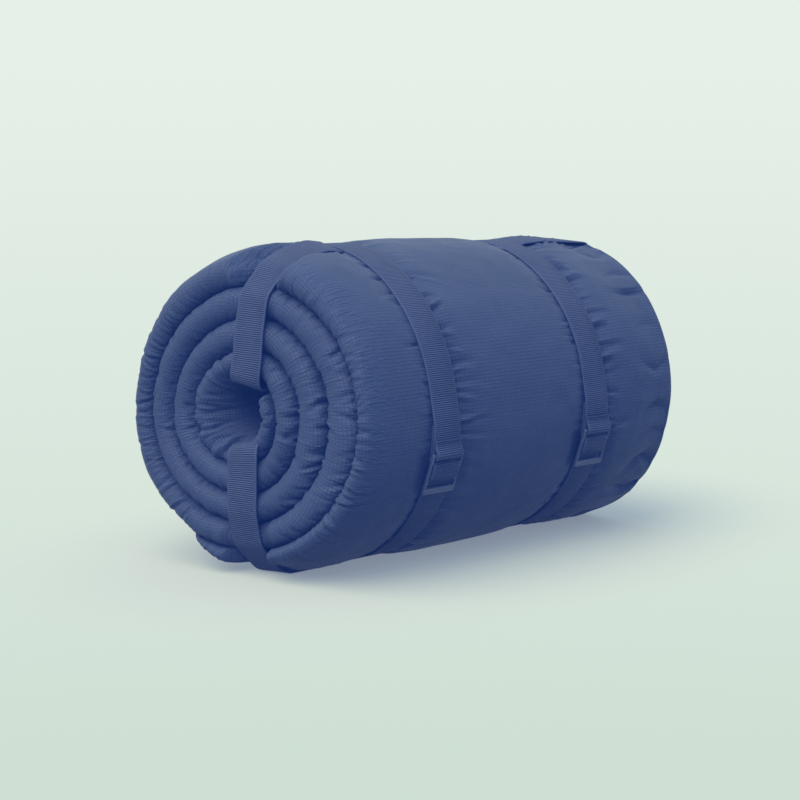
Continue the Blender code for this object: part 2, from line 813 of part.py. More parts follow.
def core_strap_line(sections, side):
    """Line of the bag under a core strap, as (x, z, u, lean); z counts away from the bore."""

    def covered_noses(section):
        below = [Station(section.turn - back) for back in (1.0, 2.0)]
        return [station.nose_place(turned) for station in below for turned in NOSE_TURNS]

    skin = between(sections, side, lambda s: [s.place(x, r) for x, r in s.skin(0.0)])
    covered = between(sections, side, covered_noses)
    chain_x = REAR_X + CHAIN_START + CHAIN_DEPTH
    corner = between(sections, side, lambda s: [s.place(chain_x, s.inner + CHAIN_TOP)])[0]
    front_x = STRAP_FRONT_X - 0.5 * WEB_WIDTH - FIT
    rear_x = STRAP_REAR_X + 0.5 * WEB_WIDTH + FIT
    wall = BORE_STRAP_OFFSET + side * CORE_Z + CORE_STRAP_CLEAR + 0.5 * WEB_THICKNESS

    def face(z, u):
        x = NOSE_X + FACE_LEAN_U * u + FACE_LEAN_Z * z * side - FACE_STRAP_CLEAR
        return x, z, u, 1.0

    low = face(FACE_SPREAD_Z, FACE_STRAP_U)
    lip = face(wall + LIP_ROUND, BORE_STRAP_U)
    above = [p for p in skin[8:13] + covered if p[1] > low[1]]
    front = upper_side([(front_x, skin[7][1]), low[:2]] + above, low[:2])
    line = []
    for x, z in front[:-1]:
        line.append((x, z, FACE_STRAP_U, face_share(x)))
    line += [low, lip, (lip[0] + LIP_ROUND, wall, BORE_STRAP_U, 1.0)]
    line.append((chain_x - LIP_ROUND, wall, BORE_STRAP_U, 0.0))
    line.append((chain_x, wall + LIP_ROUND, BORE_STRAP_U, 0.0))
    line.append((chain_x, FACE_SPREAD_Z, FACE_STRAP_U, 0.0))
    start = (rear_x, skin[2][1])
    rear = upper_side([start, corner] + skin[0:2], start)
    line += [(x, z, FACE_STRAP_U, 0.0) for x, z in rear]
    return line


def build_core_strap(name, sections, side, paint):
    """Band from the front strap over the face, through the bore and back over the rear end."""
    line = core_strap_line(sections, side)
    away = CORE_STRAP_CLEAR + 0.5 * WEB_THICKNESS
    centre = side_step([(x, z) for x, z, u, lean in line], -away)
    half = 0.5 * WEB_WIDTH
    upper = side > 0.0

    def to_world(point, index, edge):
        u, lean = line[index][2:]
        tilted = 1.0 if upper and point[1] > FACE_SPREAD_Z else 0.0
        x = point[0] + FACE_LEAN_U * lean * edge * half
        height = point[1] - BAND_TILT * tilted * (1.0 - lean) * edge * half
        return world(x, u + edge * half, side * height)

    return ribbon(name, centre, to_world, paint["web"])


# Zip


def build_strip(name, sections, x0, x1, low, high, colour_material):
    """Strip along the inner rear edge of the bag, between two heights over that edge."""
    rings = []
    for section in sections:
        if ZIP_START < section.turn < ZIP_END:
            corners = ((x0, low), (x1, low), (x1, high), (x0, high))
            rings.append([section.place(x, section.inner + rise) for x, rise in corners])
    return solid_from_rings(name, rings, colour_material)


def build_slider(sections, paint):
    """Slider on a straight piece of the chain near its outer end, with its puller."""
    k = min(range(len(sections)), key=lambda i: abs(sections[i].turn - SLIDER_TURN))
    rise = 0.5 * (CHAIN_LOW + CHAIN_TOP)
    ends = [sections[i].place(REAR_X, sections[i].inner + rise) for i in (k, k + 1)]
    middle = 0.5 * (ends[0] + ends[1])
    along = (ends[1] - ends[0]).normalized()
    outward = Vector((0.0, along.z, -along.y))
    if outward.dot(middle - world(REAR_X, CORE_U, CORE_Z)) < 0.0:
        outward = -outward

    def at(t, x, n):
        return middle + t * along + Vector((x, 0.0, 0.0)) + n * outward

    chain_x = CHAIN_START + CHAIN_DEPTH
    slot = 0.5 * (CHAIN_TOP - CHAIN_LOW) + FIT
    wall = slot + SLIDER_WALL
    back = chain_x + FIT
    top = back + SLIDER_WALL
    channel = [(FIT, -wall), (top, -wall), (top, wall), (FIT, wall)]
    channel += [(FIT, slot), (back, slot), (back, -slot), (FIT, -slot)]
    half = 0.5 * SLIDER_LENGTH
    meshes = [prism(channel, lambda p: at(-half, *p), lambda p: at(half, *p))]
    pin = (0.0, top + PIN_OUT)
    lug = [(-LUG_FOOT, top - LUG_SINK), (LUG_FOOT, top - LUG_SINK)]
    lug += [(LUG_TOP, pin[1] + LUG_TOP), (-LUG_TOP, pin[1] + LUG_TOP)]
    for low, high in ((-wall, -slot), (slot, wall)):
        meshes.append(prism(lug, lambda p: at(*p, low), lambda p: at(*p, high)))
    rod = circle(pin, PIN_RADIUS, ROD_SIDES)
    reach = 0.5 * (slot + wall)
    meshes.append(prism(rod, lambda p: at(*p, -reach), lambda p: at(*p, reach)))
    pivot = at(*pin, 0.0)
    combine("zip_slider", meshes, ["UNION"] * 3, paint["zip"], pivot)

    near = 0.5 * PULLER_WIDTH
    slim = 0.5 * PULLER_WIDTH - 0.5 * FIT
    far = 0.5 * TAB_WIDTH
    flat = 0.5 * PULLER_THICKNESS
    thin = flat - 0.5 * FIT
    eye = circle(pin, EYE_RADIUS, BAR_SIDES)
    neck = [(EYE_RADIUS - FIT, pin[1] - thin), (TAB_START + FIT, pin[1] - thin)]
    neck += [(x, 2.0 * pin[1] - y) for x, y in neck[::-1]]
    tab = [(TAB_START, pin[1] - flat), (PULLER_LENGTH, pin[1] - flat)]
    tab += [(x, 2.0 * pin[1] - y) for x, y in tab[::-1]]
    hole = circle(pin, PIN_RADIUS + FIT, BAR_SIDES)
    pieces = ((eye, near), (neck, slim), (tab, far), (hole, far))
    meshes = []
    for profile, width in pieces:
        meshes.append(prism(profile, lambda p: at(*p, -width), lambda p: at(*p, width)))
    combine("zip_puller", meshes, ["UNION", "UNION", "DIFFERENCE"], paint["zip"], pivot)


def build_zip(sections, paint):
    tape_low = SHELL_CLOTH + LAYER_GAP
    back = REAR_X - TAPE_BACK
    out = REAR_X + TAPE_OUT
    for name, low in (("zip_tape_bottom", tape_low), ("zip_tape_top", tape_low + TAPE_APART)):
        build_strip(name, sections, back, out, low, low + TAPE_CLOTH, paint["tape"])
    x0 = REAR_X + CHAIN_START
    build_strip("zip_chain", sections, x0, x0 + CHAIN_DEPTH, CHAIN_LOW, CHAIN_TOP, paint["zip"])
    build_slider(sections, paint)


# Clearances, measured on points of the finished paths


def to_segment(point, start, end):
    run = (end[0] - start[0], end[1] - start[1])
    square = run[0] * run[0] + run[1] * run[1]
    share = ((point[0] - start[0]) * run[0] + (point[1] - start[1]) * run[1]) / square
    share = min(1.0, max(0.0, share))
    return math.dist(point, (start[0] + share * run[0], start[1] + share * run[1]))


def winding_gap(sections):
    """Least distance between a turn of the bag and the turn that covers it."""
    least = math.inf
    for section in sections:
        for cover in sections:
            if abs(cover.turn - section.turn - 1.0) < 1e-6:
                paths = (section.skin(0.0), cover.skin(0.0))
                for path, other in (paths, paths[::-1]):
                    for point in path:
                        for start, end in zip(other, other[1:]):
                            least = min(least, to_segment(point, start, end))
    return least


def strap_gap(bed):
    """Least distance between two plies of a strap. Points closer than PLY_REACH along the
    strap count as the same ply."""
    centre = bed.lay(strap_path(bed))
    marks = [0.0]
    for start, end in zip(centre, centre[1:]):
        marks.append(marks[-1] + math.dist(start, end))
    least = math.inf
    for i, point in enumerate(centre):
        for j in range(len(centre) - 1):
            if min(abs(marks[i] - marks[j]), abs(marks[i] - marks[j + 1])) > PLY_REACH:
                least = min(least, to_segment(point, centre[j], centre[j + 1]))
    return least - WEB_THICKNESS


def main():
    for item in list(bpy.data.objects):
        bpy.data.objects.remove(item, do_unlink=True)
    paint = {
        "cloth": material("ripstop", CLOTH_BLUE, 0.62),
        "lining": material("lining_cloth", LINING_BLUE, 0.75),
        "filling": material("fibre_filling", FILLING_WHITE, 0.95),
        "web": material("webbing", WEB_BLUE, 0.70),
        "plastic": material("moulded_plastic", PLASTIC_BLUE, 0.38),
        "tape": material("zip_tape", ZIP_BLUE, 0.80),
        "zip": material("zip_plastic", ZIP_BLUE, 0.45),
    }
    sections = stations()
    build_bag(sections, paint)
    for end, x in (("front", STRAP_FRONT_X), ("rear", STRAP_REAR_X)):
        bed = Bed(sections, x)
        build_strap("strap_" + end, bed, paint)
        build_buckle("buckle_" + end, bed, paint)
        print("least gap between plies of strap_" + end, round(1000.0 * strap_gap(bed), 3), "mm")
    build_core_strap("core_strap_upper", sections, 1.0, paint)
    build_core_strap("core_strap_lower", sections, -1.0, paint)
    build_zip(sections, paint)
    print("least gap between turns of the bag", round(1000.0 * winding_gap(sections), 3), "mm")
    bpy.context.view_layer.update()


main()
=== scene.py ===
"""Rolled sleeping bag: folds, gathers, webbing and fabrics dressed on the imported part.

Lengths are in metres. A section of the roll is drawn in (u, z), where u points to -Y and z is
counted from the roll's axis. A turn counts windings from the core; angles run from u to z.
"""
import math

import bmesh
import bpy
import numpy as np
from mathutils import Matrix, Vector, noise

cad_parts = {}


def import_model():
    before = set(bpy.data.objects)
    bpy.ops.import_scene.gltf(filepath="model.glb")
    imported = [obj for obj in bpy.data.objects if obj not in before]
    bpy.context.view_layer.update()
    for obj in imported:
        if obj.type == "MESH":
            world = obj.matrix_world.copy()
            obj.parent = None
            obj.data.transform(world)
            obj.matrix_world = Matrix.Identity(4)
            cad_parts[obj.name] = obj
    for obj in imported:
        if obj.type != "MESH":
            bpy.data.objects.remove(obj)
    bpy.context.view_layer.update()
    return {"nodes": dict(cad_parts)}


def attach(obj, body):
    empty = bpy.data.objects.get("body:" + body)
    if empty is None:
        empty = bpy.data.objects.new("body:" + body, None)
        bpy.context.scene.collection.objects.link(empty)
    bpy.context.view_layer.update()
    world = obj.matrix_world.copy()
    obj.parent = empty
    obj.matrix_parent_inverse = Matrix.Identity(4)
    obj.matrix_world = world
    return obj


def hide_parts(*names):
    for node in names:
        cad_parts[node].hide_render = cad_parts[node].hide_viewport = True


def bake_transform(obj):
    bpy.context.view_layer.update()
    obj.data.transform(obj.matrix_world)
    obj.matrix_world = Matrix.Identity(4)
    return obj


bl_info = {
    "name": "Rolled sleeping bag",
    "version": (1, 0, 0),
    "blender": (4, 5, 0),
    "location": "View3D > Sidebar > Sleeping bag",
    "description": "Builds the visual pieces of a rolled sleeping bag around its packed part",
    "category": "Object",
}

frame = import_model()

# Roll, its spiral and its end face, as in the part's source
ROLL_RADIUS = 0.1165
REAR_RADIUS = 0.1118
TOP_STRETCH = 1.037
BOTTOM_STRETCH = 0.9416
AXIS_HEIGHT = 0.1075
REAR_X = 0.1755
CORE_U = 0.0050
CORE_Z = 0.0035
SIDE_SHIFT = 0.00832
REST_SHARE = 0.80
NOSE_X = -0.1688
FACE_LEAN_U = 0.20
FACE_LEAN_Z = 0.065
FACE_REACH = 0.092
SHOULDER_X = -0.1216
SHOULDER_LENGTH = 0.0695
SHOULDER_DROP = 0.0523
NOSE_LEAST = 0.0125
PULLED_HALF = 0.0085
START_ANGLE = 63.0
TURNS = 4.5
COVERED = TURNS - 1.0
PITCH = 0.0209
FIRST_BOUNDARY = 0.0256
CORE_RADIUS = 0.0168
TURN_GAP = 0.0006
EMERGE_TURNS = 0.45
REST_TURNS = 0.6
BOTTOM_REACH = 24.0
HEM_HALF = 0.0037

# Straps and buckles, as in the part's source; places are (along the strap, out from the bag)
WEB_WIDTH = 0.0250
WEB_THICKNESS = 0.0014
HALF_WIDTH = 0.5 * WEB_WIDTH
HALF_THICKNESS = 0.5 * WEB_THICKNESS
STRAP_X = {"front": -0.0755, "rear": 0.0832}
FRONT_EDGE = STRAP_X["front"] - HALF_WIDTH
REAR_EDGE = STRAP_X["rear"] + HALF_WIDTH
STRAP_GROOVE = 0.0022
UNDER_GROOVE = 0.0031
STRAP_CLEAR = 0.0003
BUCKLE_ANGLES = (-12.0, -27.0)
TOP_BAR = (-0.0135, 0.0052)
TOP_BAR_RADIUS = 0.0016
MIDDLE_BAR = (-0.0021, 0.0044)
MIDDLE_BAR_SIZE = (0.0090, 0.0022)
LOWER_BAR = (0.0132, 0.0034)
LOWER_BAR_SIZE = (0.0046, 0.0024)
RAIL_GAP = 0.0004
RAIL_WIDTH = 0.0016
RAIL_DEPTH = 0.0030
FIT = 0.0003
PLY_GAP = 0.0005
FLAP_STITCH = -0.0235
FLAP_LIES = -0.0190
TAIL_END = -0.0330
LAP_END = -0.0360
LAP_DOWN = -0.0460
SLANT_START = 0.0105
SLANT_END = (0.0030, 0.0063)

# Core bands and zip, as in the part's source
FACE_BAND_U = 0.0140
BORE_BAND_U = 0.0040
BORE_BAND_OFFSET = 0.0086
FACE_SPREAD_Z = 0.0450
BAND_TILT = FACE_BAND_U / ROLL_RADIUS
CHAIN_X = 0.0018
CHAIN_DEPTH = 0.0026
CHAIN_LOW = 0.0006
CHAIN_TOP = 0.0040
TAPE_BACK = 0.0067
TAPE_OUT = 0.0014
TAPE_CLOTH = 0.0006
TAPE_APART = 0.0026
ZIP_SPAN = (0.55, 4.43)

# Shoulder pulled in by each core band, a quarter of an ellipse: (start, end, sink, drop)
BAND_SHOULDERS = {
    1.0: (STRAP_X["front"] - 0.0305, NOSE_X + 0.0028, 0.0045, 0.0740),
    -1.0: (SHOULDER_X, NOSE_X - 0.0043, -0.0015, 0.0668),
}

# What a band does to the cloth beside it: UPRIGHT is the least sine of a place above or below
PULL_FADE = 0.0080
PULL_MARGIN = 0.0010
UPRIGHT = 0.7
EXTRA_TILT = {1.0: 0.12, -1.0: 0.0}
TILT_START = 0.010
HELD_FROM = 0.030
HELD_OVER = 0.012
REAR_SINK = 0.0030
REAR_START = 0.012
REAR_PUFF = 0.0020
REAR_PUFF_WIDTH = 0.0065

# Ends of the winding: the flap thins and draws back, the start lies deeper in the bore
FLAP_END = 0.0006
FLAP_TAPER = 0.110
FLAP_BACK = 0.004
CORNER_BACK = 0.008
START_RECESS = 0.0200
START_SPAN = (0.025, 0.060)
END_ROUND = 0.0045
END_LEAST = 0.06

# Swell of the cloth beside and between the straps
GROOVE_MARGIN = 0.0008
RISE_LENGTH = 0.0180
RISE_FORM = 2.2
CROWN = 0.0016
CROWN_FORM = 0.8
REAR_CROWN = 1.1
REAR_CROWN_LENGTH = 0.060

# Unevenness of the rings on the end face: radii and how far they lie out of round
RIGHT_RADII = (0.0, 0.0168, 0.0295, 0.0504, 0.0713, 0.0922, 0.1165)
RIGHT_SHIFT = (0.0, 0.0000, -0.0034, -0.0064, -0.0028, 0.0050, 0.0)
LEFT_RADII = (0.0, 0.0168, 0.0397, 0.0606, 0.0815, 0.1165)
LEFT_SHIFT = (0.0, 0.0020, 0.0059, 0.0035, 0.0012, -0.0023)
RING_FADE = (-0.0850, -0.1350)
RING_FORM = 1.5

# Bed of a buckle: how far beside the strap the cloth is pressed flat
FACET_MARGIN = 0.003
FACET_FADE = 0.012

# Photograph's camera, in the part's own frame
CAMERA_PLACE = (-0.92598, -0.94694, 0.28639)
CAMERA_TARGET = (-0.0078, 0.00832, 0.1075)
CAMERA_LENS = 80.4


def smooth(t):
    t = np.clip(t, 0.0, 1.0)
    return t * t * (3.0 - 2.0 * t)


def mix(a, b, t):
    return a + (b - a) * t


def quarter(reach):
    """Drop of a quarter ellipse, 0 to 1 over a reach of 0 to 1."""
    reach = np.clip(reach, 0.0, 1.0)
    return 1.0 - np.sqrt(1.0 - reach * reach)


# Section of the roll, for single numbers and arrays alike


def stretch(u, z):
    """The roll is a little taller above its axis than a circle, and flatter below."""
    share = np.hypot(u, z) / ROLL_RADIUS
    factor = np.where(z > 0.0, TOP_STRETCH, BOTTOM_STRETCH)
    return u, z * (1.0 + (factor - 1.0) * share)


def circle_from_core(angle, radius):
    along = CORE_U * np.cos(angle) + CORE_Z * np.sin(angle)
    square = CORE_U * CORE_U + CORE_Z * CORE_Z
    return -along + np.sqrt(along * along - square + radius * radius)


def world(x, u, z):
    """Places in the frame from places in a section."""
    return np.stack(np.broadcast_arrays(x, SIDE_SHIFT - u, z + AXIS_HEIGHT), axis=-1)


def taper_radius(x, angle):
    share = np.maximum(0.0, (x - SHOULDER_X) / (REAR_X - SHOULDER_X))
    rear = mix(REAR_RADIUS, ROLL_RADIUS, max(0.0, -math.sin(angle)))
    return mix(ROLL_RADIUS, rear, share)


def face_share(x):
    """0 behind the shoulder, 1 on the end face."""
    return np.clip((SHOULDER_X - x) / (SHOULDER_X - NOSE_X), 0.0, 1.0)


def pulled_radius(x, side):
    """Outline under the upper or the lower core band, drawn in from the strap on."""
    start, end, sink, drop = BAND_SHOULDERS[side]
    sunk = mix(STRAP_GROOVE, sink, np.clip((FRONT_EDGE - x) / (FRONT_EDGE - start), 0.0, 1.0))
    return ROLL_RADIUS - sunk - drop * quarter((start - x) / (start - end))


def pull_share(u, angle):
    """1 under a core band, fading out beside it."""
    beside = np.abs(u - FACE_BAND_U) - HALF_WIDTH - PULL_MARGIN
    return (1.0 - smooth(beside / PULL_FADE)) * (abs(math.sin(angle)) > UPRIGHT)


def shoulder_radius(x, angle):
    """Outline with the shoulder, drawn in under the bands and puffed beside the rear one."""
    radius = taper_radius(x, angle) - SHOULDER_DROP * quarter((SHOULDER_X - x) / SHOULDER_LENGTH)
    side = math.copysign(1.0, math.sin(angle))
    pulled = pulled_radius(x, side)
    u = CORE_U + pulled * math.cos(angle)
    pulled = pulled - EXTRA_TILT[side] * smooth((FRONT_EDGE - x) / TILT_START) * (u - FACE_BAND_U)
    share = pull_share(u, angle)
    behind = smooth((x - STRAP_X["rear"] - HALF_WIDTH) / REAR_START)
    lump = (u - FACE_BAND_U - HALF_WIDTH - REAR_PUFF_WIDTH) / REAR_PUFF_WIDTH
    puff = REAR_PUFF * behind * np.exp(-lump * lump) * (math.sin(angle) > 0.0)
    radius = radius - REAR_SINK * behind * share + puff
    return np.minimum(radius, mix(radius, pulled, share * (x < FRONT_EDGE)))


def boundary(turn):
    return FIRST_BOUNDARY + PITCH * turn


def turn_angle(turn):
    return math.radians(START_ANGLE - 360.0 * turn)


def outer_radius(turn, x):
    """Outer surface of the bag at one turn, for an array of x."""
    if turn <= COVERED:
        return np.full_like(x, boundary(turn))
    angle = turn_angle(turn)
    full = circle_from_core(angle, taper_radius(np.maximum(x, SHOULDER_X), angle))
    rise = float(smooth((turn - COVERED) / EMERGE_TURNS))
    radius = mix(boundary(turn), full, rise)
    late = float(np.clip((turn - TURNS + FLAP_TAPER) / FLAP_TAPER, 0.0, 1.0))
    radius = mix(radius, boundary(turn - 1.0) + TURN_GAP + FLAP_END, late)
    return np.minimum(radius, circle_from_core(angle, shoulder_radius(x, angle)))


def inner_radius(turn):
    """Inner surface of the bag at one turn, as wide as the bore at its start."""
    if turn >= 1.0:
        return boundary(turn - 1.0) + TURN_GAP
    return max(CORE_RADIUS, boundary(turn - 1.0) + TURN_GAP)


def nose_tip(turn):
    """Where the folded edge ends in front: on the leaning face, or held back by a band."""
    angle = turn_angle(turn)
    middle = 0.5 * (inner_radius(turn) + min(boundary(turn), FACE_REACH))
    u, z = stretch(CORE_U + middle * math.cos(angle), CORE_Z + middle * math.sin(angle))
    tip = NOSE_X + FACE_LEAN_U * float(u) + FACE_LEAN_Z * float(z)
    start, end, sink, drop = BAND_SHOULDERS[math.copysign(1.0, math.sin(angle))]
    radius = inner_radius(turn) + PULLED_HALF
    height = 1.0 - (ROLL_RADIUS - sink - radius) / drop
    under = start - (start - end) * math.sqrt(max(0.0, 1.0 - height * height))
    u = CORE_U + radius * math.cos(angle)
    under += FACE_LEAN_U * float(face_share(under)) * (u - FACE_BAND_U)
    share = float(pull_share(u, angle)) * float(smooth((radius - HELD_FROM) / HELD_OVER))
    tip = max(tip, mix(tip, under, share))
    tip += START_RECESS * (1.0 - float(smooth((turn - START_SPAN[0]) / START_SPAN[1])))
    late = max(0.0, (turn - TURNS + FLAP_TAPER) / FLAP_TAPER)
    return tip + FLAP_BACK * late * late + CORNER_BACK * late ** 8


def strap_groove(x, half_depth, at_bottom):
    """How far webbing draws the outline in, with full cloth rising again beside it."""
    depth = UNDER_GROOVE if at_bottom else STRAP_GROOVE
    total = np.zeros_like(x)
    for centre in STRAP_X.values():
        beside = (np.abs(x - centre) - HALF_WIDTH - GROOVE_MARGIN) / RISE_LENGTH
        rise = np.clip(beside, 0.0, 1.0)
        total = np.maximum(total, depth * (1.0 - rise) ** RISE_FORM)
    return total * float(smooth((half_depth - HEM_HALF) / HEM_HALF))


def crown(x):
    """Swell of the outline between the straps and behind the rear one."""
    low = STRAP_X["front"] + HALF_WIDTH
    high = STRAP_X["rear"] - HALF_WIDTH
    middle = np.clip((x - low) / (high - low), 0.0, 1.0)
    rear = np.clip((x - STRAP_X["rear"] - HALF_WIDTH) / REAR_CROWN_LENGTH, 0.0, 1.0)
    return CROWN * (np.sin(math.pi * middle) ** CROWN_FORM + REAR_CROWN * np.sin(math.pi * rear))


# Gathers: length of cloth to fill, and the form of one valley along and across its run
CLOTH_LENGTH = 2.2
FADE_FORM = 1.25
SEAM_MARGIN = 0.0045
SEAM_FADE = 0.0035
RIDGE_PLACE = 1.9
VALLEY_FORM = 1.2


class Gathers:
    """Valleys pulled into cloth along a seam, each a little unlike the given sizes."""

    def __init__(self, seed, spacing, depth, width, reach, full, slant, ridge=0.45, bow=0.0):
        dice = np.random.default_rng(seed)
        count = int(1.3 * CLOTH_LENGTH / spacing) + 2
        self.at = np.cumsum(spacing * dice.uniform(0.45, 1.55, count))
        self.depth = depth * (0.22 + 0.90 * dice.random(count) ** 1.4)
        self.width = width * dice.uniform(0.65, 1.40, count)
        self.reach = reach * dice.uniform(0.35, 1.15, count)
        self.full = full * dice.uniform(0.5, 1.2, count)
        self.slant = dice.uniform(-slant, slant, count)
        self.bow = bow * dice.uniform(-0.3, 1.0, count)
        self.ridge = ridge * dice.uniform(0.3, 1.2, count)
        self.side = dice.choice((-1.0, 1.0), count)

    def height(self, along, away, strength):
        """Displacement at places along the seam (S) and distances away from it (S, N)."""
        total = np.zeros_like(away)
        for k, at in enumerate(self.at):
            length = self.full[k] + self.reach[k]
            wide = 5.0 * self.width[k] + abs(self.slant[k]) * length + abs(self.bow[k])
            low, high = np.searchsorted(along, (at - wide, at + wide))
            if low == high:
                continue
            off = away[low:high]
            fade = np.clip(1.0 - (off - self.full[k]) / self.reach[k], 0.0, 1.0) ** FADE_FORM
            fade = fade * smooth((off + SEAM_MARGIN) / SEAM_FADE)
            run = np.clip(off / length, 0.0, 1.0)
            width = self.width[k] * (0.7 + 0.6 * run)
            shift = self.slant[k] * np.minimum(off, length) + self.bow[k] * run * run
            t = (along[low:high, None] - at - shift) / width
            beside = t * self.side[k] - RIDGE_PLACE
            form = self.ridge[k] * np.exp(-beside * beside) - np.exp(-np.abs(t) ** VALLEY_FORM)
            total[low:high] += self.depth[k] * strength[low:high, None] * fade * form
        return total


def lumps(points, scale, seed):
    """Slow unevenness of the filling, from solid noise at each point."""
    flat = points.reshape(-1, 3)
    shift = Vector((seed, 2.0 * seed, -seed))
    values = [noise.noise(Vector(p) * scale + shift) for p in flat]
    return np.array(values).reshape(points.shape[:-1])


# Points along one section of the outer shell, and the sections along the cloth

# Runs of the shown outline from the rear to the front: (from, to, points)
SHOWN_RUNS = (
    (0.1705, 0.1217, 21),
    (0.1217, 0.0957, 19),
    (0.0957, 0.0707, 9),
    (0.0707, 0.0427, 20),
    (0.0427, -0.0330, 22),
    (-0.0330, -0.0630, 21),
    (-0.0630, -0.0880, 9),
    (-0.0880, -0.1000, 9),
)
LEG_SPAN = (SHOWN_RUNS[0][0], SHOWN_RUNS[-1][1])
SHOWN_STEPS = [np.linspace(*run)[:-1] for run in SHOWN_RUNS]
SHOWN_X = np.concatenate(SHOWN_STEPS + [[LEG_SPAN[1]]])
COVERED_X = np.linspace(*LEG_SPAN, 6)
FRONT_POINTS = 34
COVERED_FRONT_POINTS = 5
NOSE_SWING = np.radians(np.linspace(0.0, 180.0, 25))
CAP_SWING = np.radians(np.linspace(-90.0, 80.0, 9))
INNER_POINTS = 7
COVERED_STEP = 0.00115
SHOWN_SECTIONS = 560

# Cloth drawn into the bore: (start, length) in turns where it begins and ends, and its depths
FUNNEL_IN = (0.28, 0.22)
FUNNEL_OUT = (0.92, 0.2)
FUNNEL_ROUND = 0.0068
FUNNEL_DEPTH = 0.034

# Rounding of the cap at the rear end, of the hem there, and of the shoulder into the nose
CAP_SHARE = 0.24
HEM_STEP = 0.0003
SOFTENED = (22, 10)
SOFT_ROUNDS = 14


class Section:
    """Outer shell at one turn as a path of x and radius, with distances for its gathers."""

    def __init__(self, turn, fold, shown):
        self.turn = turn
        self.angle = turn_angle(turn)
        self.inner = inner_radius(turn)
        self.tip = nose_tip(turn)
        self.shown = shown
        whole = float(outer_radius(turn, np.array([SHOULDER_X]))[0]) - self.inner
        probe = np.array([self.tip + 0.5 * NOSE_LEAST])
        thick = float(outer_radius(turn, probe)[0]) - self.inner
        thick = max(thick, min(whole, NOSE_LEAST))
        self.half = 0.5 * thick
        self.fold = fold
        self.path()

    def path(self):
        xs = SHOWN_X if self.shown else COVERED_X
        count = FRONT_POINTS if self.shown else COVERED_FRONT_POINTS
        ended = smooth((self.turn - FUNNEL_OUT[0]) / FUNNEL_OUT[1])
        funnel = float(smooth((self.turn - FUNNEL_IN[0]) / FUNNEL_IN[1]) * (1.0 - ended))
        self.funnel = funnel
        half_out = mix(self.half, FUNNEL_ROUND, funnel)
        half_in = 2.0 * self.half - half_out
        reach_in = mix(self.half, FUNNEL_DEPTH, funnel)
        crest = self.inner + half_in
        nose_x = self.tip + half_out
        self.crest = crest
        self.centre_x = nose_x
        self.deep_x = self.tip + reach_in
        front = np.linspace(xs[-1], nose_x, count + 1)[1:]
        leg_x = np.concatenate([xs, front])
        leg_r = outer_radius(self.turn, leg_x)
        leg_r = np.maximum(leg_r, self.inner + 2.0 * self.half)
        if self.shown:
            bottom = abs(math.degrees(self.angle) % 360.0 - 270.0) < BOTTOM_REACH
            leg_r = leg_r + crown(leg_x) * float(smooth((self.turn - COVERED) / 0.2))
            leg_r = leg_r - strap_groove(leg_x, 0.5 * (leg_r[0] - self.inner), bottom)
        rear_round = CAP_SHARE * (leg_r[0] - self.inner)
        cap_x = REAR_X - rear_round + rear_round * np.cos(CAP_SWING)
        cap_r = leg_r[0] - rear_round + rear_round * np.sin(CAP_SWING)
        swing = NOSE_SWING[1:]
        outer_part = swing <= 0.5 * math.pi
        reach = np.where(outer_part, half_out, reach_in)
        across = np.where(outer_part, float(leg_r[-1]) - crest, half_in)
        nose_px = self.tip + reach * (1.0 - np.sin(swing))
        nose_pr = crest + across * np.cos(swing)
        inner_x = np.linspace(nose_px[-1], REAR_X - HEM_STEP, INNER_POINTS + 1)[1:]
        inner_r = np.full(INNER_POINTS, self.inner)
        hem_x = np.array([REAR_X, REAR_X - 2.0 * HEM_STEP])
        hem_r = np.array([self.inner + HEM_STEP, self.inner + 2.0 * HEM_STEP])
        x = np.concatenate([cap_x, leg_x, nose_px, inner_x, hem_x])
        r = np.concatenate([cap_r, leg_r, nose_pr, inner_r, hem_r])
        start = len(cap_x) + len(leg_x)
        self.nose = slice(start, start + len(nose_px))
        if self.shown:
            low, high = start - SOFTENED[0], start + SOFTENED[1]
            for _ in range(SOFT_ROUNDS):
                for line in (x, r):
                    moved = 0.25 * (line[low - 1:high - 1] + line[low + 1:high + 1])
                    line[low:high] = 0.5 * line[low:high] + moved
        r = self.inner + (r - self.inner) * self.fold
        self.x = x
        self.r = r
        steps = np.hypot(np.diff(x), np.diff(r))
        self.run = np.concatenate([[0.0], np.cumsum(steps)])
        self.from_outer = self.run - self.run[start - 1]
        self.from_inner = self.run[start + len(nose_px) - 1] - self.run

    def sides(self):
        """Outward directions along the path."""
        dx = np.gradient(self.x)
        dr = np.gradient(self.r)
        size = np.maximum(np.hypot(dx, dr), 1e-9)
        return dr / size, -dx / size


def station_turns():
    """Turns of the sections: about even steps along the cloth, closer at the two ends."""
    turns = [0.0]
    while turns[-1] < COVERED:
        radius = 0.5 * (inner_radius(turns[-1]) + boundary(turns[-1]))
        turns.append(turns[-1] + COVERED_STEP / (2.0 * math.pi * radius))
    turns[-1] = COVERED
    shown = list(np.linspace(COVERED, TURNS, SHOWN_SECTIONS))
    return turns, shown


def end_fold(turn):
    """Share of the full thickness near the two cut ends, where the cloth closes over."""
    radius = 0.5 * (inner_radius(turn) + float(outer_radius(turn, np.array([0.0]))[0]))
    length = 2.0 * math.pi * radius * min(turn, TURNS - turn)
    t = min(1.0, length / END_ROUND)
    return max(END_LEAST, math.sqrt(1.0 - (1.0 - t) ** 2))


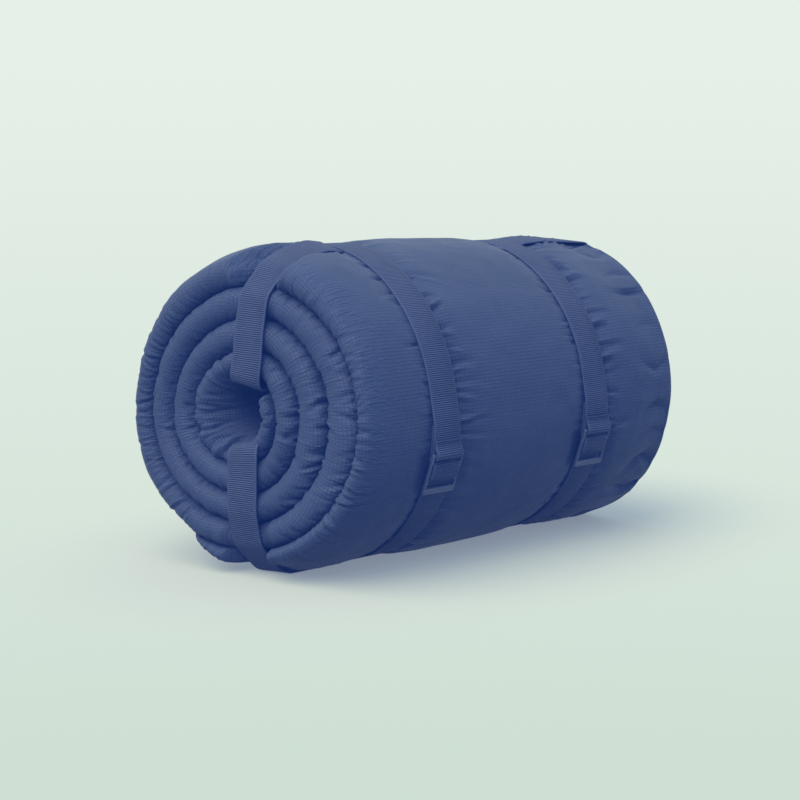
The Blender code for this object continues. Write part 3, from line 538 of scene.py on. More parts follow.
def ring_shift(x, radius, angle):
    """How far the rings of the end face lie to one side, fading out behind it."""
    side = np.cos(angle)
    right = np.interp(radius, RIGHT_RADII, RIGHT_SHIFT)
    left = np.interp(radius, LEFT_RADII, LEFT_SHIFT)
    share = smooth((RING_FADE[0] - x) / (RING_FADE[0] - RING_FADE[1]))
    return share * np.abs(side) ** RING_FORM * np.where(side > 0.0, right, -left)


def facet_line(x):
    """The chord of the bed under a buckle at a strap: its two ends in (u, z)."""
    line = []
    for angle in BUCKLE_ANGLES:
        turned = math.radians(angle)
        radius = float(circle_from_core(turned, taper_radius(np.array([x]), turned))[0])
        radius -= STRAP_GROOVE
        u, z = stretch(CORE_U + radius * math.cos(turned), CORE_Z + radius * math.sin(turned))
        line.append((float(u), float(z)))
    return line


def press_facets(x, u, z, under):
    """Press the outline flat behind each buckle, and layers below it a little deeper."""
    for centre in STRAP_X.values():
        (u0, z0), (u1, z1) = facet_line(centre)
        run = math.hypot(u1 - u0, z1 - z0)
        du, dz = (u1 - u0) / run, (z1 - z0) / run
        along = (u - u0) * du + (z - z0) * dz
        nu, nz = -dz, du
        if nu * u0 + nz * z0 < 0.0:
            nu, nz = -nu, -nz
        out = (u - u0) * nu + (z - z0) * nz
        beside = np.abs(x - centre) - HALF_WIDTH - FACET_MARGIN
        share = 1.0 - smooth(beside / FACET_FADE)
        inside = (along > 0.0) & (along < run) & (out > -under)
        push = np.where(inside, share * (out + under), 0.0)
        u = u - push * nu
        z = z - push * nz
    return u, z


def shape(x, radius, angle, top, under=0.0):
    """(u, z) of points of a section; top is its greatest radius where it rests, otherwise 0."""
    u, z = stretch(CORE_U + radius * np.cos(angle), CORE_Z + radius * np.sin(angle))
    u = u + ring_shift(x, radius, angle)
    rest = REST_SHARE * np.maximum(0.0, top - radius)
    z = np.where(top > 0.0, np.maximum(z, -AXIS_HEIGHT + rest), z)
    return press_facets(x, u, z, under)


# Mesh helpers in the manner of hand modelling

MERGE = 1e-7
CLOTH_EDGE = 50.0
PLASTIC_EDGE = 40.0


def deselect():
    if bpy.context.mode != "OBJECT":
        bpy.ops.object.mode_set(mode="OBJECT")
    bpy.ops.object.select_all(action="DESELECT")


def activate(piece):
    deselect()
    piece.select_set(True)
    bpy.context.view_layer.objects.active = piece


def grid_piece(name, rows, along, across):
    """A grid primitive whose points are then moved to their places; its UV is in metres."""
    deselect()
    count, size = rows.shape[:2]
    bpy.ops.mesh.primitive_grid_add(x_subdivisions=size - 1, y_subdivisions=count - 1, size=2.0)
    piece = bpy.context.object
    piece.name = name
    piece.data.name = name
    mesh = piece.data
    if len(mesh.vertices) != count * size:
        raise RuntimeError("the grid for " + name + " has another number of points")
    mesh.vertices.foreach_set("co", rows.reshape(-1))
    corners = np.empty(len(mesh.loops), dtype=np.int32)
    mesh.loops.foreach_get("vertex_index", corners)
    sides = [np.broadcast_to(values, (count, size)) for values in (along, across)]
    flat = np.stack(sides, -1)
    layer = mesh.uv_layers[0]
    layer.name = "cloth"
    layer.uv.foreach_set("vector", flat.reshape(-1, 2)[corners].reshape(-1).astype(np.float32))
    mesh.update()
    return piece


def store(piece, name, values):
    layer = piece.data.attributes.new(name, "FLOAT", "POINT")
    layer.data.foreach_set("value", np.asarray(values, dtype=np.float32).reshape(-1))


def tidy(piece, smooth_angle=None, merge=MERGE):
    """Merge touching points, turn the normals outwards and shade smooth."""
    activate(piece)
    bpy.ops.object.mode_set(mode="EDIT")
    bpy.ops.mesh.select_all(action="SELECT")
    bpy.ops.mesh.remove_doubles(threshold=merge)
    bpy.ops.mesh.normals_make_consistent(inside=False)
    bpy.ops.object.mode_set(mode="OBJECT")
    if smooth_angle is None:
        bpy.ops.object.shade_smooth()
    else:
        bpy.ops.object.shade_smooth_by_angle(angle=math.radians(smooth_angle))


def close_ring(piece):
    """Merge the long edges of a swept grid, fill its two ends and tidy it."""
    activate(piece)
    bpy.ops.object.mode_set(mode="EDIT")
    bpy.ops.mesh.select_all(action="SELECT")
    bpy.ops.mesh.remove_doubles(threshold=MERGE)
    bpy.ops.mesh.select_all(action="DESELECT")
    bpy.ops.mesh.select_non_manifold()
    bpy.ops.mesh.fill_holes(sides=0)
    bpy.ops.object.mode_set(mode="OBJECT")
    tidy(piece, CLOTH_EDGE)


def join(pieces, name):
    deselect()
    for piece in pieces:
        piece.select_set(True)
    bpy.context.view_layer.objects.active = pieces[0]
    if len(pieces) > 1:
        bpy.ops.object.join()
    result = bpy.context.object
    result.name = name
    result.data.name = name
    return result


def box_bar(size, centre, bevel, cuts=0):
    """A bevelled bar, added at its place and cut across its length."""
    deselect()
    bpy.ops.mesh.primitive_cube_add(size=1.0, location=centre, scale=size)
    piece = bpy.context.object
    bpy.ops.object.transform_apply(location=True, rotation=True, scale=True)
    bpy.ops.object.mode_set(mode="EDIT")
    bpy.ops.mesh.select_all(action="SELECT")
    bpy.ops.mesh.bevel(offset=bevel, segments=3, affect="EDGES")
    bpy.ops.object.mode_set(mode="OBJECT")
    if cuts:
        bpy.ops.object.mode_set(mode="EDIT")
        for k in range(1, cuts + 1):
            bpy.ops.mesh.select_all(action="SELECT")
            place = centre[1] - 0.5 * size[1] + size[1] * k / (cuts + 1)
            bpy.ops.mesh.bisect(plane_co=(0.0, place, 0.0), plane_no=(0.0, 1.0, 0.0))
        bpy.ops.object.mode_set(mode="OBJECT")
    return piece


# Outer shell

# Sets of gathers as (seed, spacing, depth, width, reach, full, slant, ridge, bow)
GATHERS = {
    "nose_out": (3, 0.0115, 0.0034, 0.0016, 0.0130, 0.0080, 0.40, 0.5, 0.0050),
    "nose_in": (4, 0.0105, 0.0030, 0.0015, 0.0110, 0.0060, 0.40, 0.5, 0.0040),
    "fine_out": (5, 0.0048, 0.0015, 0.0010, 0.0110, 0.0030, 0.45),
    "fine_in": (6, 0.0048, 0.0015, 0.0010, 0.0110, 0.0030, 0.45),
    "throat": (7, 0.0085, 0.0036, 0.0017, 0.0260, 0.0080, 0.30, 0.7),
    "throat_fine": (10, 0.0047, 0.0018, 0.0011, 0.0180, 0.0050, 0.35, 0.5),
    "shoulder": (8, 0.0076, 0.0034, 0.0014, 0.0260, 0.0110, 0.35, 0.6),
    "shoulder_fine": (9, 0.0044, 0.0016, 0.0010, 0.0160, 0.0100, 0.40, 0.5),
    "band_edge": (41, 0.0085, 0.0034, 0.0017, 0.0120, 0.0010, 0.40, 0.7),
    "band_edge_fine": (42, 0.0052, 0.0016, 0.0011, 0.0110, 0.0020, 0.35, 0.5),
    "rear_edge": (51, 0.0230, 0.0050, 0.0042, 0.0240, 0.0060, 0.50, 0.3),
}

# The same beside a strap, towards the rear (1) and the front (-1); each strap adds to the seed
STRAP_GATHERS = {
    1: (20, 0.0108, 0.0048, 0.0020, 0.0280, 0.0030, 0.30, 0.75),
    -1: (30, 0.0105, 0.0029, 0.0017, 0.0170, 0.0020, 0.30, 0.65),
}

# Strength of gathers round the roll: base, then parts about an angle (centre, half, gain)
NOSE_STRENGTH = (0.50, (195.0, 75.0, 0.20), (-8.0, 55.0, 0.60))
STRAP_STRENGTH = (0.40, (32.0, 62.0, 0.65), (-50.0, 30.0, 0.25))

# Seams: in the bore from the outer edge of the fold, at the rear from the hem. The nose starts
# a little before that edge, and FAR_OFF is out of every gather's reach
THROAT_SEAM = 0.018
THROAT_FINE_SEAM = 0.014
REAR_FOLDS = 0.0200
NOSE_START = 0.010
FAR_OFF = 1.0

# Unevenness of the filling: (scale, seed, height)
LUMPS = ((26.0, 3.0, 0.0011), (70.0, 9.0, 0.0005))
LUMPS_FADE = 0.015

# Where gathers die out: under a band, in thin cloth, at the inner leg and on the rear cap
UNDER_MARGIN = 0.0030
UNDER_FADE = 0.0040
UNDER_DENTS = 0.3
CLOSED_FROM = 0.3
FULL_DEPTH = 0.0055
INNER_FADE = 0.0035
CAP_GATHERS = 0.3
CRINKLE_REACH = 0.02

# Column whose points measure the cloth's length round the roll, and the shell's merge distance
OUTLINE_COLUMN = 40
SHELL_MERGE = 2e-6

# Straps' beds and the shell's two skins, which later pieces lie on
BEDS = {}
SKINS = []


def gather_strength(angle, base, *parts):
    """Strength of the gathers round the roll, stronger about the given angles."""
    total = np.full_like(angle, base)
    for centre, half, gain in parts:
        off = np.abs((np.degrees(angle) - centre + 180.0) % 360.0 - 180.0) / half
        total = total + gain * (1.0 - smooth(off))
    return total


class Skin:
    """The covered or the shown part of the outer shell, as arrays of (section, point)."""

    def __init__(self, turns, shown, start, depth):
        self.sections = [Section(turn, end_fold(turn), shown) for turn in turns]
        self.x = self.each("x")
        self.r = self.each("r")
        self.run = self.each("run")
        self.angle = self.each("angle")
        self.from_outer = self.each("from_outer")
        self.from_inner = self.each("from_inner")
        sides = [section.sides() for section in self.sections]
        self.nx = np.array([side[0] for side in sides])
        self.nr = np.array([side[1] for side in sides])
        outline = self.r[:, OUTLINE_COLUMN] if shown else self.each("inner") + self.each("half")
        steps = 0.5 * (outline[1:] + outline[:-1]) * -np.diff(self.angle)
        self.along = start + np.concatenate([[0.0], np.cumsum(steps)])
        self.inner_away = np.where(self.from_inner < 0.0, FAR_OFF, self.from_inner)
        self.strength = gather_strength(self.angle, *NOSE_STRENGTH)
        u = CORE_U + self.r * np.cos(self.angle)[:, None]
        self.beside = np.abs(u - FACE_BAND_U) - HALF_WIDTH
        upright = (np.abs(np.sin(self.angle)) > UPRIGHT)[:, None]
        self.banded = upright & ((self.x < FRONT_EDGE) | (self.x > REAR_EDGE))
        self.rise = self.push(shown, depth)
        self.rows = self.place()

    def each(self, name):
        return np.array([getattr(section, name) for section in self.sections])

    def gathers(self, name, away, strength):
        return Gathers(*GATHERS[name]).height(self.along, away, strength)

    def covered_gathers(self):
        """Gathers of the noses on the end face, and of the cloth drawn into the bore."""
        funnel = self.each("funnel")
        outer_away = np.where(self.from_outer < 0.0, FAR_OFF, self.from_outer)
        outer = self.strength * (1.0 - 0.5 * funnel)
        inner = self.strength * (1.0 - funnel)
        total = self.gathers("nose_out", outer_away, outer)
        total += self.gathers("fine_out", outer_away, outer)
        total += self.gathers("nose_in", self.inner_away, inner)
        total += self.gathers("fine_in", self.inner_away, inner)
        total += self.gathers("throat", np.abs(self.from_outer - THROAT_SEAM), funnel)
        total += self.gathers("throat_fine", np.abs(self.from_outer - THROAT_FINE_SEAM), funnel)
        return total

    def shown_gathers(self):
        """Gathers of the shoulder and the rear edge, and beside the straps and the bands."""
        total = self.gathers("shoulder", self.inner_away, self.strength)
        total += self.gathers("shoulder_fine", self.inner_away, self.strength)
        on_nose = self.from_outer > -NOSE_START
        rear_away = np.where(on_nose, FAR_OFF, np.abs(self.x - REAR_X + REAR_FOLDS))
        total += self.gathers("rear_edge", rear_away, np.ones_like(self.strength))
        pull = gather_strength(self.angle, *STRAP_STRENGTH)
        for k, centre in enumerate(STRAP_X.values()):
            for side, (seed, *form) in STRAP_GATHERS.items():
                away = np.where(on_nose, FAR_OFF, side * (self.x - centre) - HALF_WIDTH)
                total += Gathers(seed + k, *form).height(self.along, away, pull)
        line = self.run.mean(axis=0)
        away = np.where(self.banded & (self.from_inner > 0.0), self.beside, FAR_OFF).T
        for name in ("band_edge", "band_edge_fine"):
            total += Gathers(*GATHERS[name]).height(line, away, np.ones(len(line))).T
        return total

    def push(self, shown, depth):
        """How far each point moves out of the smooth section."""
        rise = self.shown_gathers() if shown else self.covered_gathers()
        under = (1.0 - smooth((self.beside + UNDER_MARGIN) / UNDER_FADE)) * self.banded
        rise = mix(rise, UNDER_DENTS * np.minimum(rise, 0.0), under)
        rise *= depth
        closed = self.each("fold") * (1.0 + CLOSED_FROM) - CLOSED_FROM
        closed = np.clip(closed, 0.0, 1.0)
        rise *= (closed * np.clip(self.each("half") / FULL_DEPTH, 0.0, 1.0) ** 2)[:, None]
        across, up = np.cos(self.angle)[:, None], np.sin(self.angle)[:, None]
        points = world(self.x, self.r * across, self.r * up)
        uneven = sum(lumps(points, scale, seed) * height for scale, seed, height in LUMPS)
        if shown:
            strap_off = np.minimum(*[np.abs(self.x - centre) for centre in STRAP_X.values()])
            uneven = uneven * smooth((strap_off - HALF_WIDTH) / LUMPS_FADE)
        rise += uneven * (1.0 - under)
        rise *= smooth(self.from_inner / INNER_FADE)
        rise[:, :len(CAP_SWING)] *= CAP_GATHERS
        rise[:, -INNER_POINTS - 2:] = 0.0
        return rise

    def place(self):
        """Places of all points, with the last turn at rest on the floor."""
        tops = []
        for section in self.sections:
            rests = section.turn > TURNS - REST_TURNS
            tops.append(section.r[:section.nose.start].max() * rests)
        x = self.x + self.rise * self.nx
        r = self.r + self.rise * self.nr
        return world(x, *shape(x, r, self.angle[:, None], np.array(tops)[:, None]))

    def crinkled(self):
        """1 at the folded edge, 0 away from it; the cloth's material reads it."""
        near = np.minimum(np.abs(self.from_inner), np.abs(self.from_outer))
        return 1.0 - np.clip(near / CRINKLE_REACH, 0.0, 1.0)


def build_shell(settings):
    covered_turns, shown_turns = station_turns()
    covered = Skin(covered_turns, False, 0.0, settings.gather_depth)
    shown = Skin(shown_turns, True, covered.along[-1], settings.gather_depth)
    SKINS[:] = [covered, shown]
    pieces = []
    for skin in SKINS:
        piece = grid_piece("shell_part", skin.rows, skin.along[:, None], skin.run)
        store(piece, "gather", skin.crinkled())
        pieces.append(piece)
    shell = join(pieces, "bag_shell")
    tidy(shell, merge=SHELL_MERGE)
    return shell


# Inner layers

# Every fourth section, pressed in by the deepest gather within so many points
LAYER_STEP = 4
GATHER_REACH = 7
UNDER_SHELL = 0.0014
LEG_SAMPLES = 24
INNER_SAMPLES = 6
REAR_INSET = 0.0070
FILLING_BACK = 0.0080
DEEP_SWING = 0.8
LEG_RISE = 0.05
LAYER_CRINKLE = 0.3

# Faces of each layer, as shares of the way from the skin to the middle line, and how much
# further in it ends at the rear
LAYER_FACES = {
    "bottom_filling": (0.10, 0.42, FILLING_BACK),
    "lining": (0.46, 0.52, 0.0),
    "top_filling": (0.56, 0.84, FILLING_BACK),
}
TOP_SHELL_FACE = 0.90

# Inner shell closed over its filling at the rear: places from its face, and height shares
RIM_BACK = 0.0012
RIM_ROUND = 0.0012
RIM_DEPTH = 0.0050
RIM_TURN = (0.0055, 0.0010)
RIM_LOW = 0.56
RIM_SHARES = (0.75, 0.35)


def lowest(values, stations, points):
    """Lowest value in a window round each entry, along both directions."""
    for axis, reach in ((0, stations), (1, points)):
        found = values.copy()
        for shift in range(1, reach + 1):
            ahead = np.roll(values, -shift, axis)
            behind = np.roll(values, shift, axis)
            cut = [slice(None), slice(None)]
            cut[axis] = slice(0, -shift)
            found[tuple(cut)] = np.minimum(found[tuple(cut)], ahead[tuple(cut)])
            cut[axis] = slice(shift, None)
            found[tuple(cut)] = np.minimum(found[tuple(cut)], behind[tuple(cut)])
        values = found
    return values


class Fold:
    """Skin and middle line of the folded bag at one turn, for the layers between them."""

    def __init__(self, section, x, r):
        self.turn = section.turn
        self.angle = section.angle
        self.section = section
        cap = len(CAP_SWING)
        nose = section.nose
        rear = REAR_X - REAR_INSET
        leg_x = x[cap:nose.start]
        leg_r = r[cap:nose.start]
        front = leg_x[-1]
        wanted = np.linspace(rear, front, LEG_SAMPLES)
        order = np.argsort(leg_x)
        legs = np.interp(wanted, leg_x[order], leg_r[order])
        nose_x = x[nose][1:-1:2]
        nose_r = r[nose][1:-1:2]
        back = np.linspace(x[nose][-1], rear, INNER_SAMPLES)
        self.x = np.concatenate([wanted, nose_x, back])
        self.r = np.concatenate([legs, nose_r, np.full(INNER_SAMPLES, section.inner)])
        crest = section.crest
        centre = section.centre_x
        swing = NOSE_SWING[1:][1:-1:2]
        deep = mix(centre, section.deep_x, smooth((swing - 0.5 * math.pi) / DEEP_SWING))
        middle = section.inner + 0.5 * (legs - section.inner)
        share = smooth((wanted - front) / LEG_RISE)
        leg_middle = mix(crest, middle, share)
        back_middle = np.interp(back, wanted[::-1], leg_middle[::-1])
        self.middle_x = np.concatenate([wanted, deep, np.maximum(back, section.deep_x)])
        self.middle_r = np.concatenate([leg_middle, np.full(len(swing), crest), back_middle])

    def line(self, share):
        """Path of the surface at a share of the way from the skin to the middle line."""
        return np.stack([mix(self.x, self.middle_x, share), mix(self.r, self.middle_r, share)], -1)

    def place(self, line):
        line = np.array(line)
        top = float(self.r.max()) if self.turn > TURNS - REST_TURNS else 0.0
        u, z = shape(line[:, 0], line[:, 1], self.angle, top, UNDER_SHELL)
        return world(line[:, 0], u, z)


def layer_piece(name, folds, loop):
    """A closed ring swept along the winding: a grid whose two long edges are merged."""
    rows = np.array([fold.place(loop(fold)) for fold in folds])
    rows = np.concatenate([rows, rows[:, :1]], axis=1)
    middle = rows.mean(axis=1)
    along = np.concatenate([[0.0], np.cumsum(np.linalg.norm(np.diff(middle, axis=0), axis=1))])
    across = np.concatenate([[0.0], np.cumsum(np.linalg.norm(np.diff(rows[-1], axis=0), axis=1))])
    piece = grid_piece(name, rows, along[:, None], across[None, :])
    store(piece, "gather", np.full(rows.shape[:2], LAYER_CRINKLE))
    close_ring(piece)
    return piece


def build_layers():
    """Fillings, lining and inner shell, pressed in under the shell's gathers."""
    folds = []
    for skin in SKINS:
        low = np.minimum(0.0, lowest(skin.rise, LAYER_STEP + 1, GATHER_REACH))
        nose = skin.sections[0].nose
        crest = (nose.start + nose.stop) // 2
        x = skin.x.copy()
        x[:, nose] = -lowest(-x[:, nose], LAYER_STEP + 1, 0)
        r = skin.r.copy()
        r[:, :crest] = lowest(r[:, :crest], LAYER_STEP, 0)
        x += low * skin.nx
        r += low * skin.nr
        for i in range(LAYER_STEP, len(skin.sections) - 1, LAYER_STEP):
            folds.append(Fold(skin.sections[i], x[i], r[i]))

    def between(a, b, back):
        def loop(fold):
            points = np.concatenate([fold.line(a), fold.line(b)[::-1]])
            points[:, 0] = np.minimum(points[:, 0], REAR_X - REAR_INSET - back)
            return points

        return loop

    def folded(fold):
        """The innermost shell, closed over its filling at the rear edge of the inner leg."""
        points = fold.line(TOP_SHELL_FACE)
        near = REAR_X - RIM_BACK
        high = float(points[-1][1])
        low = mix(fold.section.inner, high, RIM_LOW)
        end = [(near - RIM_ROUND, high)]
        end += [(near, mix(low, high, share)) for share in RIM_SHARES]
        end += [(near - RIM_ROUND, low), (near - RIM_DEPTH, low)]
        end.append((near - RIM_TURN[0], high - RIM_TURN[1]))
        return np.concatenate([points[:-1], np.array(end)])

    made = {}
    for name, faces in LAYER_FACES.items():
        made[name] = layer_piece("bag_" + name, folds, between(*faces))
    made["top_shell"] = layer_piece("bag_top_shell", folds, folded)
    return made


# Webbing

# Rounded section of webbing: (side in half widths, lift in thicknesses)
WEB_PROFILE = (
    (-1.0, -0.2), (-0.97, -0.5), (0.97, -0.5), (1.0, -0.2),
    (1.0, 0.2), (0.97, 0.5), (-0.97, 0.5), (-1.0, 0.2),
)

# Bed of a strap: turns left out at the flap, points at the nose, and radians beside a facet
FLAP_CLEAR = 0.012
NOSE_CLEAR = 20
FACET_OVERLAP = 0.004

# Steps of laid webbing, and rounds of smoothing
LAY_STEP = 0.0016
BIGHT_STEP = 0.0010
LAP_ROUNDS = 3
PATH_ROUNDS = 2
BIGHT_ROUNDS = 3

# Route of a strap at its buckle: degrees round the top bar, then steps of (along, out)
TOP_LOOP = (105.0, 85.0, 60.0, 35.0, 10.0, -15.0, -40.0, -65.0, -90.0)
LAP_FLAT = 0.010
SLANT_FOOT = (0.0015, 0.0008)
BIGHT_FLAT = (0.0020, 0.0010)
BIGHT_CORNER = (0.0003, 0.0007)
BIGHT_DROP = 0.0022
BIGHT_FOOT = (0.0008, 0.0005)
BIGHT_TOE = 0.0026

# Stitches: length and radius of one, the rows from the flap's end, their spacing, how many
# lie on each side of the middle one, and a step that gives their direction
STITCH_SIZE = (0.0021, 0.00032)
STITCH_ROWS = (0.0016, 0.0044)
STITCH_STEP = 0.0027
STITCHES_BESIDE = 4
STITCH_PROBE = 0.001


def hull(points):
    """Convex outline of points in a plane, against the clock."""
    ordered = sorted(points)

    def half_hull(items):
        chain = []
        for point in items:
            while len(chain) > 1:
                ax, ay = chain[-1][0] - chain[-2][0], chain[-1][1] - chain[-2][1]
                bx, by = point[0] - chain[-1][0], point[1] - chain[-1][1]
                if ax * by - ay * bx > 0.0:
                    break
                chain.pop()
            chain.append(point)
        return chain[:-1]

    return half_hull(ordered) + half_hull(ordered[::-1])


def side_step(path, distance):
    """Move each point of an open path to its left, with mitred corners."""
    line = np.array(path)
    runs = np.diff(line, axis=0)
    runs = runs / np.maximum(np.linalg.norm(runs, axis=1), 1e-12)[:, None]
    sides = np.stack([-runs[:, 1], runs[:, 0]], axis=1)
    both = np.concatenate([sides[:1], sides[:-1] + sides[1:], sides[-1:]])
    square = (both * both).sum(axis=1)
    scale = 2.0 * distance / square
    scale[0] = distance
    scale[-1] = distance
    return line + both * scale[:, None]


class Bed:
    """The line on which a strap lies, unrolled from the middle of its buckle."""

    def __init__(self, x):
        self.x = x
        shown = SKINS[1]
        points = []
        for row, section in zip(shown.rows, shown.sections):
            if section.turn > TURNS - FLAP_CLEAR:
                continue
            count = section.nose.start - NOSE_CLEAR
            order = np.argsort(row[:count, 0])
            y = np.interp(x, row[order, 0], row[order, 1])
            z = np.interp(x, row[order, 0], row[order, 2])
            points.append((SIDE_SHIFT - float(y), float(z) - AXIS_HEIGHT))
        line = facet_line(x)
        angles = [math.atan2(z - CORE_Z, u - CORE_U) for u, z in line]
        kept = []
        for u, z in points:
            turned = math.atan2(z - CORE_Z, u - CORE_U)
            if not angles[1] - FACET_OVERLAP < turned < angles[0] + FACET_OVERLAP:
                kept.append((u, z))
        ring = hull(kept + line)[::-1]
        first = ring.index(line[1])
        ring = ring[first:] + ring[:first]
        loop = side_step([ring[-1]] + ring + [ring[0]], STRAP_CLEAR)[1:-1]
        middle = 0.5 * (loop[-1] + loop[0])
        self.corners = np.concatenate([[middle], loop, [middle]])
        steps = np.linalg.norm(np.diff(self.corners, axis=0), axis=1)
        self.marks = np.concatenate([[0.0], np.cumsum(steps)])
        self.round = float(self.marks[-1])

    def direction(self, rest):
        k = min(int(np.searchsorted(self.marks, rest, side="right")) - 1, len(self.marks) - 2)
        run = self.corners[k + 1] - self.corners[k]
        return k, run / np.linalg.norm(run)

    def at(self, along, height):
        rest = along % self.round
        k, run = self.direction(rest)
        start = self.corners[k] + run * (rest - self.marks[k])
        return start + height * np.array([-run[1], run[0]])

    def flat(self, place):
        run = self.corners[1] - self.corners[-2]
        run = run / np.linalg.norm(run)
        return self.corners[0] + place[0] * run + place[1] * np.array([-run[1], run[0]])

    def matrix(self):
        """Buckle frame: across, down the strap, and out from the bag."""
        down = self.flat((1.0, 0.0)) - self.flat((0.0, 0.0))
        middle = world(self.x, *self.corners[0])
        columns = [(-1.0, 0.0, 0.0), (0.0, -down[0], down[1]), (0.0, down[1], down[0])]
        turned = Matrix(columns).transposed().to_4x4()
        return Matrix.Translation(Vector(middle)) @ turned


def round_corners(path, rounds):
    """Cut the corners of a path of (along, height), keeping its ends."""
    for _ in range(rounds):
        line = [path[0]]
        for a, b in zip(path, path[1:]):
            line.append((mix(a[0], b[0], 0.25), mix(a[1], b[1], 0.25)))
            line.append((mix(a[0], b[0], 0.75), mix(a[1], b[1], 0.75)))
        path = line + [path[-1]]
    return path


def strap_lines(bed):
    """Three runs of a strap: flap and lap round the roll, bight over the bar, and tail."""
    lies = HALF_THICKNESS
    inner_leg = lies + WEB_THICKNESS + PLY_GAP
    flap = inner_leg + WEB_THICKNESS + PLY_GAP
    wrap = TOP_BAR_RADIUS + FIT + lies
    path = [(FLAP_STITCH, flap), (0.5 * (FLAP_STITCH + FLAP_LIES), flap), (FLAP_LIES, flap)]
    for angle in np.radians(TOP_LOOP):
        path.append((TOP_BAR[0] + wrap * math.cos(angle), TOP_BAR[1] + wrap * math.sin(angle)))
    path += [(LAP_END, inner_leg), (LAP_DOWN, lies), (LAP_DOWN - LAP_FLAT, lies)]
    lap = round_corners(path, PATH_ROUNDS) + [(SLANT_START - bed.round, lies)]
    over = MIDDLE_BAR[1] + 0.5 * MIDDLE_BAR_SIZE[1] + FIT + lies
    bar_end = MIDDLE_BAR[0] - 0.5 * MIDDLE_BAR_SIZE[0]
    slot = 0.5 * (bar_end + TOP_BAR[0] + wrap + lies)
    bight = [(SLANT_START, lies), (SLANT_START - SLANT_FOOT[0], lies + SLANT_FOOT[1])]
    bight += [SLANT_END, (SLANT_END[0] - BIGHT_FLAT[0], over), (bar_end + BIGHT_FLAT[1], over)]
    bight += [(slot + BIGHT_CORNER[0], over - BIGHT_CORNER[1]), (slot, over - BIGHT_DROP)]
    bight += [(slot, inner_leg), (slot - BIGHT_FOOT[0], lies + BIGHT_FOOT[1])]
    bight += [(slot - BIGHT_TOE, lies)]
    tail = [(slot - BIGHT_TOE, lies), (TAIL_END, lies)]
    return lap, round_corners(bight, BIGHT_ROUNDS), tail


def lay_line(bed, path, step=LAY_STEP):
    """Points of a path of (along, height) on the bed, closely spaced where it is long."""
    points = []
    for (a0, n0), (a1, n1) in zip(path, path[1:]):
        count = max(1, int(abs(a1 - a0) / step))
        for k in range(count):
            t = k / count
            points.append(bed.at(mix(a0, a1, t), mix(n0, n1, t)))
    points.append(bed.at(*path[-1]))
    return np.array(points)


def smooth_line(points, rounds):
    """The line with each inner point drawn towards its neighbours, round by round."""
    line = np.array(points, dtype=float)
    for _ in range(rounds):
        line[1:-1] = 0.5 * line[1:-1] + 0.25 * (line[:-2] + line[2:])
    return line


def web_piece(name, centre, to_world):
    """Webbing with rounded edges along a centre line in a plane; UV across and along."""
    runs = np.gradient(centre, axis=0)
    runs = runs / np.linalg.norm(runs, axis=1)[:, None]
    sides = np.stack([-runs[:, 1], runs[:, 0]], axis=1)
    steps = np.linalg.norm(np.diff(centre, axis=0), axis=1)
    along = np.concatenate([[0.0], np.cumsum(steps)])
    columns = []
    across = []
    for side, lift in WEB_PROFILE + WEB_PROFILE[:1]:
        line = centre + sides * (lift * WEB_THICKNESS)
        columns.append(to_world(line, side * HALF_WIDTH))
        across.append(HALF_WIDTH * side)
    rows = np.stack(columns, axis=1)
    piece = grid_piece(name, rows, np.array(across)[None, :], along[:, None])
    close_ring(piece)
    return piece


def build_strap(end):
    bed = Bed(STRAP_X[end])
    BEDS[end] = bed
    lap, bight, tail = strap_lines(bed)

    def to_world(line, side):
        return world(bed.x + side, line[:, 0], line[:, 1])

    lap_piece = web_piece("lap", smooth_line(lay_line(bed, lap), LAP_ROUNDS), to_world)
    tail_piece = web_piece("tail", lay_line(bed, tail), to_world)
    strap = join([lap_piece, tail_piece], "webbing_" + end)
    bight_line = lay_line(bed, bight, BIGHT_STEP)
    bight_piece = web_piece("webbing_" + end + "_bight", bight_line, to_world)
    return strap, bight_piece, build_stitches(bed, end)


def model_stitch(length, radius):
    """One stitch at the origin, a flattened drop of thread."""
    deselect()
    bpy.ops.mesh.primitive_uv_sphere_add(segments=8, ring_count=5, radius=1.0)
    piece = bpy.context.object
    piece.data.transform(Matrix.Diagonal((0.5 * length, radius, 0.6 * radius, 1.0)))
    return piece


def build_stitches(bed, end):
    """Rows of stitches that hold the strap's flap above the buckle."""
    pieces = []
    top = 3.0 * WEB_THICKNESS + 2.0 * PLY_GAP
    first = model_stitch(*STITCH_SIZE)
    for row in STITCH_ROWS:
        place = bed.at(FLAP_STITCH + row, top)
        nearby = bed.at(FLAP_STITCH + row + STITCH_PROBE, top)
        down = (nearby - place) / np.linalg.norm(nearby - place)
        columns = [(1.0, 0.0, 0.0), (0.0, -down[0], down[1]), (0.0, -down[1], -down[0])]
        turned = Matrix(columns).transposed().to_4x4()
        for k in range(-STITCHES_BESIDE, STITCHES_BESIDE + 1):
            shift = Vector(world(bed.x + STITCH_STEP * k, place[0], place[1]))
            piece = first.copy()
            piece.data = first.data.copy()
            bpy.context.collection.objects.link(piece)
            piece.data.transform(Matrix.Translation(shift) @ turned)
            pieces.append(piece)
    bpy.data.objects.remove(first, do_unlink=True)
    stitches = join(pieces, "stitches_" + end)
    tidy(stitches)
    return stitches


# Core bands

# Height over the cloth, how far its edge presses in, steps, and how the rear run sets off
BAND_CLEAR = 0.0007
BAND_SUNK = 0.0016
BAND_STEP = 0.0010
BAND_ROUNDS = 12
EDGE_WINDOW = 0.003
FLOOR_CLEAR = 0.0003
REAR_TURN_SHARE = 0.93
REAR_TILT_FADE = 0.02
CHAIN_ROUND = 0.0020

